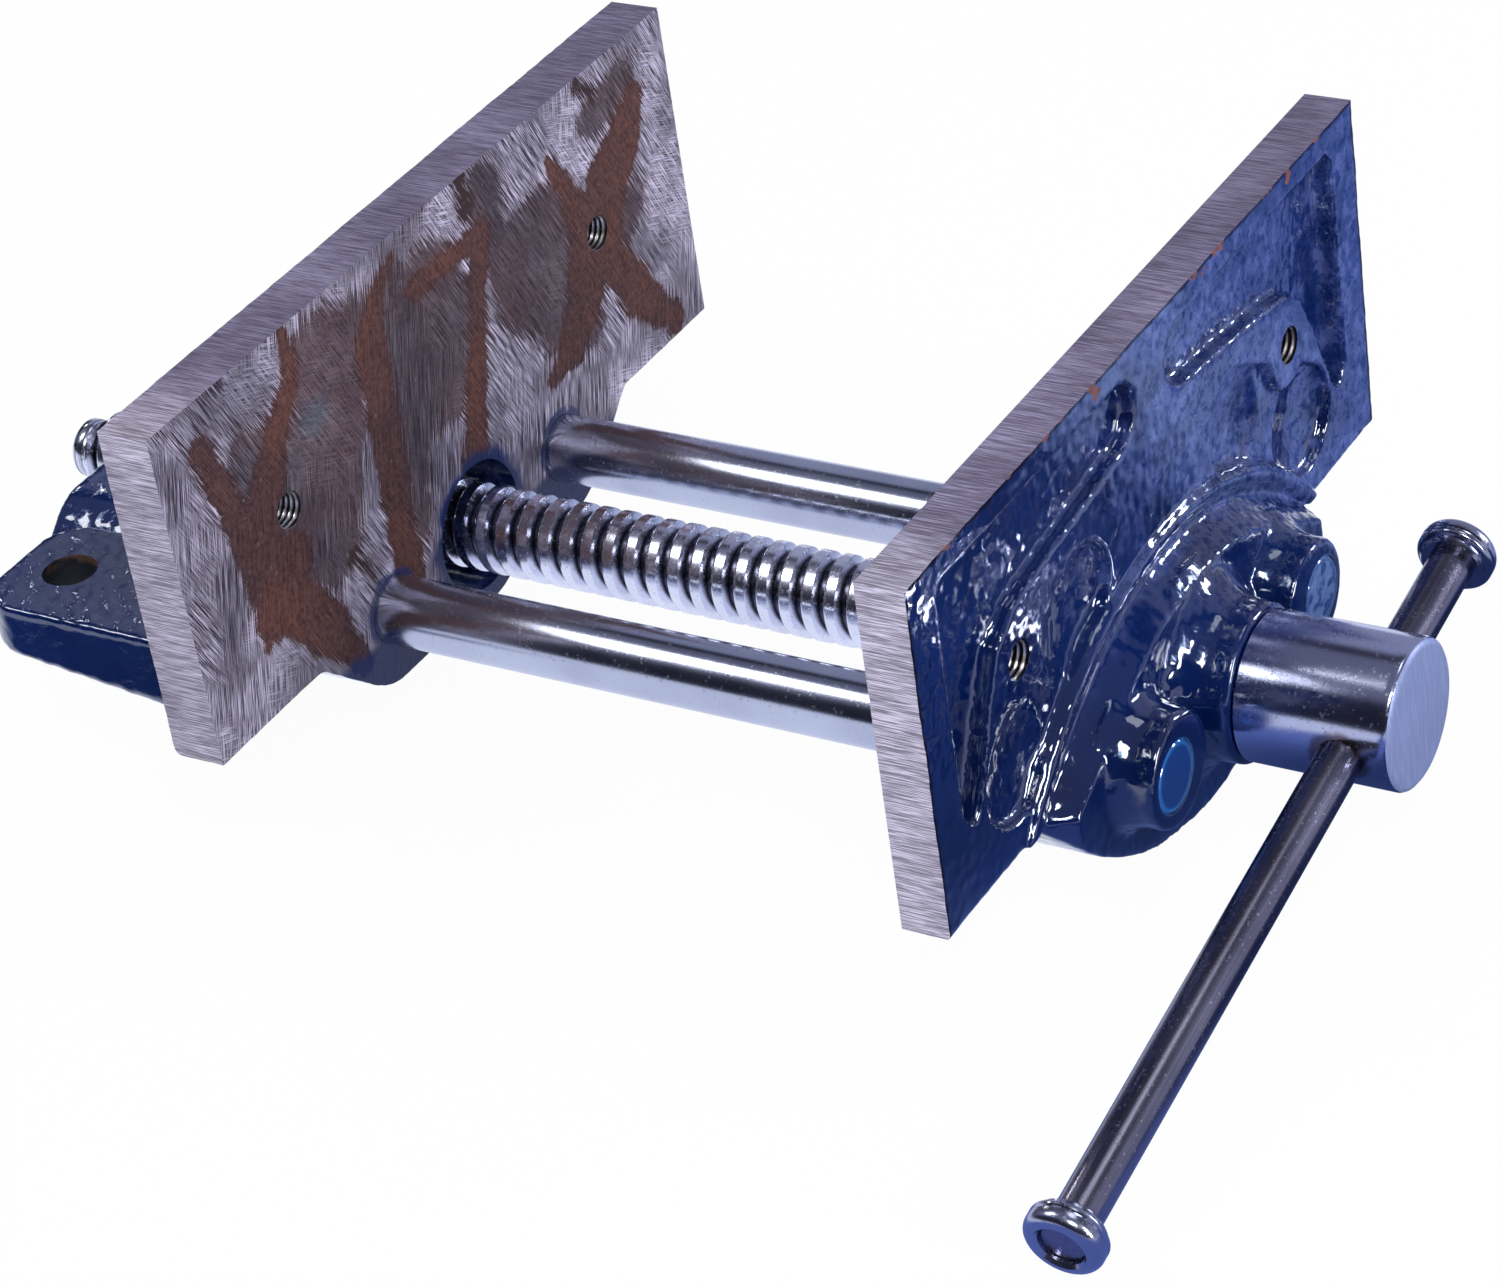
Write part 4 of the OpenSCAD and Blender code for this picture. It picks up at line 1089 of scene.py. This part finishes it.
# %% Drill the rear jaw and sort its faces
recess = bmesh.new()
round_bar(recess, *along(0, AXIS_Z, grown, RECESS_END), RECESS_R, 96)
clearance = bmesh.new()
round_bar(clearance, *along(0, AXIS_Z, RECESS_END - 1 * MM, nut_low.y + 1 * MM), CLEAR_R, 96)
nut_bore = bmesh.new()
round_bar(nut_bore, *along(0, AXIS_Z, nut_low.y, HOUSING_BACK + 3 * MM), NUT_R, 96)
for side in (-1, 1):
    round_bar(recess, *along(side * ROD_X, AXIS_Z, grown, HOUSING_BACK + 3 * MM), REAR_ROD_BORE, 96)
    round_bar(recess, *upright(side * LUG_X, 0, -20 * MM, 5 * MM), LUG_HOLE_R, 64)
    add_tap(recess, side * LINER_X, LINER_Z, REAR_FACE - 1 * MM, REAR_BACK + 1 * MM)
rear_casting = take_away(mesh, [recess, clearance, nut_bore], "rear_casting")


def in_lug_hole(centre, normal):
    away = np.hypot(np.abs(centre[:, 0]) - LUG_X, centre[:, 1])
    return (away < LUG_HOLE_R + WALL_SLACK) & (np.abs(normal[:, 2]) < 0.9)


sort_faces(rear_casting, [ground_face, milled_edge, milled_edge, bored_iron, bored_iron, shaded_lug_hole,
                          blue_paint], [*jaw_rules(REAR_FACE, REAR_ROD_BORE), in_lug_hole])

# %% [markdown]
# ## Turned pieces
# Whatever was made on a lathe is made here in the same way: a list of radii and lengths, spun
# round. The list starts and ends on the axis, so the shape is closed, and each corner that a file
# or a tool would break gets a small chamfer that catches the light.

# %% The lathe
def turned(profile, sides=96, ring=False):
    """A closed turned shape round the Y axis. A ring's profile closes on itself, off the axis."""
    bm = bmesh.new()
    loops = []
    for radius, length in profile:
        if radius < 0.0001 * MM:
            loops.append([bm.verts.new((0, length, 0))])
            continue
        loops.append([bm.verts.new((radius * math.cos(math.tau * i / sides), length,
                                    radius * math.sin(math.tau * i / sides))) for i in range(sides)])
    following = loops[1:] + (loops[:1] if ring else [])
    for first, second in zip(loops, following):
        for i in range(sides):
            j = (i + 1) % sides
            corners = [first[i % len(first)], first[j % len(first)],
                       second[j % len(second)], second[i % len(second)]]
            face = list(dict.fromkeys(corners))
            if len(face) > 2:
                bm.faces.new(face)
    bmesh.ops.recalc_face_normals(bm, faces=bm.faces)
    return bm


def mesh_piece(bm, name, *materials, sharp=30):
    """A mesh made into a piece with smooth faces, sharp where they meet at more than this angle."""
    mesh = as_mesh(name, bm)
    for material in materials:
        mesh.materials.append(material)
    mesh.polygons.foreach_set("use_smooth", np.ones(len(mesh.polygons), bool))
    mesh.set_sharp_from_angle(angle=math.radians(sharp))
    print(name, len(mesh.polygons), "faces")
    return new_object(name, mesh)


# %% [markdown]
# ## The guide rods
# Two plated rods, 14 mm thick, are fixed in the front jaw and slide in the housing. Their front
# ends lie flush in the bosses and were painted over with the casting.

# %% Turn the guide rods
def guide_rod(name, x):
    back, front, r = rod_high.y, rod_low.y, ROD_R
    bm = turned([(0, back), (r - 0.8 * MM, back), (r, back - 0.8 * MM), (r, front + 0.5 * MM),
                 (r - 0.5 * MM, front + 0.05 * MM), (0, front + 0.05 * MM)])
    bmesh.ops.translate(bm, verts=bm.verts, vec=(x, 0, AXIS_Z))
    for face in bm.faces:
        if face.calc_center_median().y < front + 0.4 * MM:
            face.material_index = 1
    return mesh_piece(bm, name, zinc_rod, blue_paint)


left_rod = guide_rod("guide_rod_left_turned", -ROD_X)
right_rod = guide_rod("guide_rod_right_turned", ROD_X)

# %% [markdown]
# ## The lead screw
# The screw is one bar: a turned tip with a narrow groove, the rolled thread with a flat crest, a
# smooth shank in the front jaw and a tenon in the head. The thread comes from the same rule as
# the taps, and the turned ends run a little way into it.

# %% Wind the thread and turn the ends
TIP_R, TENON_R, SHANK_R = 6.2 * MM, 7 * MM, 9 * MM
TIP_END_R, TIP_GROOVE_R, SHANK_END_R = 5.3 * MM, 5.9 * MM, 8.4 * MM
tip_end, shoulder, tenon_end = screw_high.y, head_high.y, head_high.y - 12 * MM
screw = wound_thread(thread_steel, THREAD_FRONT, THREAD_BACK, Turns=50, Steps_per_turn=40,
                     Rows_per_pitch=17, Pitch=5 * MM, Root_radius=6.8 * MM, Crest_radius=8.8 * MM,
                     Ridge_width=3.6 * MM, Flank_width=0.62 * MM)
tip = turned([(0, THREAD_BACK - MM), (TIP_R, THREAD_BACK - MM), (TIP_R, THREAD_BACK + 2.2 * MM),
              (TIP_GROOVE_R, THREAD_BACK + 2.6 * MM), (TIP_R, THREAD_BACK + 3.0 * MM),
              (TIP_R, tip_end - 0.9 * MM), (TIP_END_R, tip_end), (0, tip_end)])
shank = turned([(0, tenon_end), (TENON_R, tenon_end), (TENON_R, shoulder - 0.1 * MM),
                (SHANK_R, shoulder), (SHANK_R, THREAD_FRONT - 0.6 * MM),
                (SHANK_END_R, THREAD_FRONT + 0.4 * MM), (0, THREAD_FRONT + 0.4 * MM)])
merge_into(screw, tip)
merge_into(screw, shank)
bmesh.ops.translate(screw, verts=screw.verts, vec=(0, 0, AXIS_Z))
lead_screw = mesh_piece(screw, "lead_screw_wound", thread_steel, sharp=50)

# %% [markdown]
# ## The head
# The head is a short polished bar with a broken front edge, pinned on the screw's tenon. The
# handle bar passes through it on a slant, so its hole is bored along the bar's own axis.

# %% Turn and bore the head
slant = Matrix.Rotation(-BAR_TILT, 4, "Y")
handle_place = Matrix.Translation((0, BAR_Y, AXIS_Z)) @ slant
pin_place = Matrix.Translation((0, head_high.y - 6 * MM, AXIS_Z)) @ slant
HEAD_R, HEAD_PIN_BORE, BARREL_STEPS = (head_high.x - head_low.x) / 2, 2.53 * MM, 24
front, back = head_low.y, head_high.y
barrel = [(HEAD_R, back - 0.4 * MM - (back - front - 1.6 * MM) * i / BARREL_STEPS)
          for i in range(BARREL_STEPS + 1)]
head = turned([(0, back), (HEAD_R - 0.4 * MM, back), *barrel, (HEAD_R - 0.25 * MM, front + 0.6 * MM),
               (HEAD_R - 0.95 * MM, front + 0.08 * MM), (HEAD_R - 1.4 * MM, front), (0, front)], 144)
bmesh.ops.translate(head, verts=head.verts, vec=(0, 0, AXIS_Z))
drills = bmesh.new()
round_bar(drills, handle_place @ Vector((-30 * MM, 0, 0)), handle_place @ Vector((30 * MM, 0, 0)),
          BAR_R + 0.06 * MM, 96)
round_bar(drills, pin_place @ Vector((0, 0, -20 * MM)), pin_place @ Vector((0, 0, 9 * MM)),
          HEAD_PIN_BORE, 48)
screw_head = take_away(as_mesh("screw_head", head), [drills], "screw_head_turned")
sort_faces(screw_head, [head_face, head_rusty],
           [lambda centre, normal: (centre[:, 1] < head_low.y + 1.6 * MM) & (normal[:, 1] < -0.5)])

# %% [markdown]
# ## The handle
# A plain bar slides in the head and cannot fall out, because a knob is pressed on each end. The
# knobs are turned with a narrow neck ring and a wide rounded ring that a fine groove divides.
# Each is bored right through, so the bar's end lies a little below the knob's and makes its dish.

# %% Turn the bar and the knobs
BAR_FAR, BAR_NEAR = 38.3 * MM, 125.1 * MM
KNOB_R, KNOB_LEN, DISH = 7.4 * MM, 6 * MM, 1.4 * MM
NECK_LEN, EDGE_R, SHOULDER_R = 0.22 * KNOB_LEN, 2.2 * MM, 0.8 * MM
along_x = Matrix.Rotation(math.radians(-90), 4, "Z")
inside = KNOB_LEN - DISH
bar = turned([(0, -BAR_NEAR - inside), (BAR_R - 0.4 * MM, -BAR_NEAR - inside),
              (BAR_R, -BAR_NEAR - inside + 0.4 * MM), (BAR_R, BAR_FAR + inside - 0.4 * MM),
              (BAR_R - 0.4 * MM, BAR_FAR + inside), (0, BAR_FAR + inside)])
bmesh.ops.transform(bar, matrix=handle_place @ along_x, verts=bar.verts)
handle_bar = mesh_piece(bar, "handle_bar_turned", handle_steel)


def knob(name, start, turn):
    r, hole, neck = KNOB_R, BAR_R + 0.03 * MM, KNOB_R - 1.1 * MM
    rim = [(r - EDGE_R + EDGE_R * math.cos(a), KNOB_LEN - EDGE_R + EDGE_R * math.sin(a))
           for a in np.linspace(0, math.pi / 2, 9)]
    rise = [(r - SHOULDER_R + SHOULDER_R * math.sin(a), NECK_LEN + SHOULDER_R - SHOULDER_R * math.cos(a))
            for a in np.linspace(0, math.pi / 2, 7)]
    groove = [(r, 2.5 * MM), (r - 0.4 * MM, 2.85 * MM), (r, 3.2 * MM)]
    bm = turned([(hole, 0), (neck - 0.5 * MM, 0), (neck, 0.5 * MM), (neck, NECK_LEN - 0.1 * MM),
                 *rise, *groove, *rim, (hole + 0.6 * MM, KNOB_LEN), (hole, KNOB_LEN - 0.6 * MM)], ring=True)
    bmesh.ops.transform(bm, matrix=handle_place @ turn @ Matrix.Translation((start, 0, 0)) @ along_x,
                        verts=bm.verts)
    return mesh_piece(bm, name, knob_steel)


upper_knob = knob("handle_knob_upper_turned", BAR_FAR, Matrix.Identity(4))
lower_knob = knob("handle_knob_lower_turned", BAR_NEAR, Matrix.Rotation(math.pi, 4, "Y"))

# %% [markdown]
# ## Small pieces kept from the construction model
# The pins, the collar, the washer, the nut and its grub screw are already the shape of the real
# ones, and little of them shows. They keep their own meshes and only take a finish.

# %% Finish the small pieces
KEPT = {"lead_nut": nut_iron, "nut_grub_screw": pin_steel, "rod_pin_left": pin_steel,
        "rod_pin_right": pin_steel, "thrust_washer": zinc_rod, "retaining_collar": head_steel,
        "collar_pin": pin_steel, "head_pin": pin_steel}
for name, material in KEPT.items():
    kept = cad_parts[name].data
    kept.materials.clear()
    kept.materials.append(material)
print("kept from the construction model:", sorted(KEPT))

# %% [markdown]
# ## Joining the pieces to the bodies
# Each piece rides on the body that moves it, stands for one node of the construction model and
# names the slot that its finish belongs to. With that, the vise can open and close dressed.

# %% Hang each piece on its body
DRESSED = [
    (rear_casting, "rear_body", "rear_jaw", "painted_casting"),
    (front_casting, "front_body", "front_jaw", "painted_casting"),
    (left_rod, "front_body", "guide_rod_left", "rod_steel"),
    (right_rod, "front_body", "guide_rod_right", "rod_steel"),
    (lead_screw, "screw_body", "lead_screw", "screw_steel"),
    (screw_head, "screw_body", "screw_head", "head_steel"),
    (handle_bar, "handle_body", "handle_bar", "handle_steel"),
    (upper_knob, "handle_body", "handle_knob_upper", "handle_steel"),
    (lower_knob, "handle_body", "handle_knob_lower", "handle_steel"),
]
for piece, body, node, slot in DRESSED:
    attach(piece, body)
    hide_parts(node)
print(len(DRESSED), "pieces dressed")

# %% [markdown]
# ## The floor
# The vise lies on a pale matt sheet that catches its soft shadow. The handle is longer than the
# vise is high, so when the screw turns, one end of it reaches below the sheet. That is why the
# sheet is thin to the camera, which looks through it at the white room, and clear from below, so
# that the light also reaches what hangs under it. What metal mirrors of it is laid out in zones,
# as cards are round a shiny piece: pale under the rods, blue before the front jaw, and dark in
# two pools, one before the head and one beside the left lug.

# %% Lay the floor
FLOOR_HALF, FLOOR_GAP, THINNESS = 4.0, 0.3 * MM, 0.965
PALE_CARD, BLUE_CARD, BRIGHT_BLUE = (0.8, 0.84, 1, 1), (0.14, 0.2, 0.52, 1), (0.42, 0.55, 1, 1)
GREY_CARD, DARK_CARD = (0.6, 0.62, 0.78, 1), (0.03, 0.05, 0.15, 1)
WHITE = (1, 1, 1, 1)

bm = bmesh.new()
bmesh.ops.create_grid(bm, x_segments=1, y_segments=1, size=FLOOR_HALF)
bmesh.ops.translate(bm, verts=bm.verts, vec=(0, 0, cad_low.z - FLOOR_GAP))
floor = new_object("floor", as_mesh("floor", bm))
paper = bpy.data.materials.new("white_paper")
board = fresh_sheet(paper)
path = board.put("ShaderNodeLightPath").outputs
x, y, z = board.split(board.put("ShaderNodeTexCoord").outputs["Object"])
spot = board.join(x, y, 0.0)


def pool(x, y, outer, inner):
    """A round zone of the floor: whole within the inner radius, gone beyond the outer one."""
    return board.ease(board.away(spot, (x, y, 0.0)), outer, inner)


dark = board.most(pool(0.02, -0.29, 0.12, 0.07), pool(-0.145, 0.04, 0.06, 0.035))
before_jaw = board.mix(pool(0.108, -0.305, 0.1, 0.03), BLUE_CARD, BRIGHT_BLUE)
before_jaw = board.mix(board.ease(y, -0.33, -0.4), before_jaw, GREY_CARD)
mirrored = board.mix(board.ease(y, -0.185, -0.205), PALE_CARD, before_jaw)
mirrored = board.mix(dark, mirrored, DARK_CARD)
matt = board.put("ShaderNodeBsdfDiffuse", {"Color": (0.82, 0.82, 0.84, 1)})
glow = board.put("ShaderNodeEmission", {"Color": board.mix(path["Is Glossy Ray"], WHITE, mirrored),
                                        "Strength": 1.0})
seen = board.most(path["Is Glossy Ray"], path["Is Transmission Ray"])
both = board.put("ShaderNodeMixShader", {0: seen, 1: matt.outputs[0], 2: glow.outputs[0]})
clear = board.put("ShaderNodeBsdfTransparent")
below = board.put("ShaderNodeNewGeometry").outputs["Backfacing"]
through = board.most(below, board.times(path["Is Camera Ray"], THINNESS))
sheet_of_paper = board.put("ShaderNodeMixShader", {0: through, 1: both.outputs[0], 2: clear.outputs[0]})
board.put("ShaderNodeOutputMaterial", {"Surface": sheet_of_paper.outputs[0]})
floor.data.materials.append(paper)
print("floor laid at", round((cad_low.z - FLOOR_GAP) / MM, 2), "mm")

# %% [markdown]
# ## The room
# Soft even light from all sides shows each colour about as it is written. In the polished steel
# the room shows as bands that run along Y: blue-grey on the right, then a narrow dark one, dim
# grey overhead and nearly black on the left. They make the round pieces read as round. The
# camera sees plain white.

# %% Light the room
RIGHT_BAND, NARROW_BAND = (0.3, 0.32, 0.45, 1), (0.02, 0.02, 0.035, 1)
TOP_BAND, LEFT_BAND = (0.14, 0.15, 0.22, 1), (0.015, 0.016, 0.03, 1)
ROOM_LIGHT = (0.54, 0.56, 0.64, 1)

world = bpy.data.worlds.new("room")
bpy.context.scene.world = world
board = fresh_sheet(world)
path = board.put("ShaderNodeLightPath").outputs
dx, dy, up = board.split(board.put("ShaderNodeTexCoord").outputs["Generated"])
lean = board.math("ARCTAN2", up, dx)
bands = board.mix(board.ease(lean, 1.18, 1.3), NARROW_BAND, TOP_BAND)
bands = board.mix(board.ease(lean, 2.2, 2.5), bands, LEFT_BAND)
right_side = board.times(board.ease(lean, 1.1, 0.88), board.ease(dy, 0.72, 0.58))
bands = board.mix(right_side, bands, RIGHT_BAND)
soft = board.mix(path["Is Glossy Ray"], ROOM_LIGHT, bands)
plain = board.most(path["Is Camera Ray"], path["Is Transmission Ray"])
back = board.put("ShaderNodeBackground", {"Color": board.mix(plain, soft, WHITE), "Strength": 1.0})
board.put("ShaderNodeOutputWorld", {"Surface": back.outputs[0]})
print("room lit")

# %% [markdown]
# The lamps are soft boxes of unequal size, as in a photographer's studio. Each gives the steel
# and the gloss paint one clear reflection, and all of them look at the middle of the vise.

# %% Set up the lamps
MIDDLE = Vector((0, -0.1, 0))
LAMPS = [
    # name, place, width, height, watts, colour
    ("back_left_box", (-0.4, 0.56, 1.02), 0.36, 0.5, 4.0, (1, 1, 1)),
    ("front_strip", (-0.26, -1.35, 0.42), 0.15, 0.6, 8.0, (1, 1, 1)),
    ("front_left_box", (-1.0, -0.9, 1.3), 0.42, 0.36, 11.0, (1, 1, 1)),
    ("right_strip", (0.95, -0.95, 0.32), 0.16, 0.4, 5.0, (0.88, 0.92, 1.0)),
    ("top_box", (0.35, -0.55, 1.4), 0.5, 0.4, 1.3, (0.92, 0.94, 1.0)),
    ("back_right_box", (0.59, 0.94, 0.68), 0.1, 0.1, 0.5, (1, 1, 1)),
]
for name, place, width, height, watts, colour in LAMPS:
    light = bpy.data.lights.new(name, "AREA")
    light.shape = "RECTANGLE"
    light.size, light.size_y = width, height
    light.energy, light.color = watts, colour
    stand = new_object(name, light)
    stand.location = place
    stand.rotation_mode = "QUATERNION"
    stand.rotation_quaternion = (MIDDLE - Vector(place)).to_track_quat("-Z", "Y")
    print("lamp", name, watts, "W")

# %% [markdown]
# ## The camera
# The camera stands to the left of the handle and looks down at the vise along the way the
# reference was taken, with a long lens that keeps the jaws nearly square.

# %% Set up the camera
AZIMUTH, ELEVATION, ROLL = (math.radians(a) for a in (-54.910, 33.024, -9.051))
CAMERA_PLACE, LENS, SENSOR, SHIFT_UP = (-0.6089, -0.5361, 0.4464), 108.746, 36.0, 0.004
behind = Vector((math.sin(AZIMUTH) * math.cos(ELEVATION), -math.cos(AZIMUTH) * math.cos(ELEVATION),
                 math.sin(ELEVATION)))
level = Vector((0, 0, 1)).cross(behind).normalized()
over = behind.cross(level)
right = math.cos(ROLL) * level + math.sin(ROLL) * over
top = -math.sin(ROLL) * level + math.cos(ROLL) * over
camera_data = bpy.data.cameras.new("camera")
camera_data.lens, camera_data.sensor_width, camera_data.shift_y = LENS, SENSOR, SHIFT_UP
camera_data.clip_start, camera_data.clip_end = 0.05, 20.0
camera = new_object("camera", camera_data)
facing = Matrix((right, top, behind)).transposed().to_4x4()
camera.matrix_world = Matrix.Translation(CAMERA_PLACE) @ facing
bpy.context.scene.camera = camera
bpy.context.scene.view_settings.view_transform = "Standard"
print("camera", [round(v, 3) for v in camera.location])
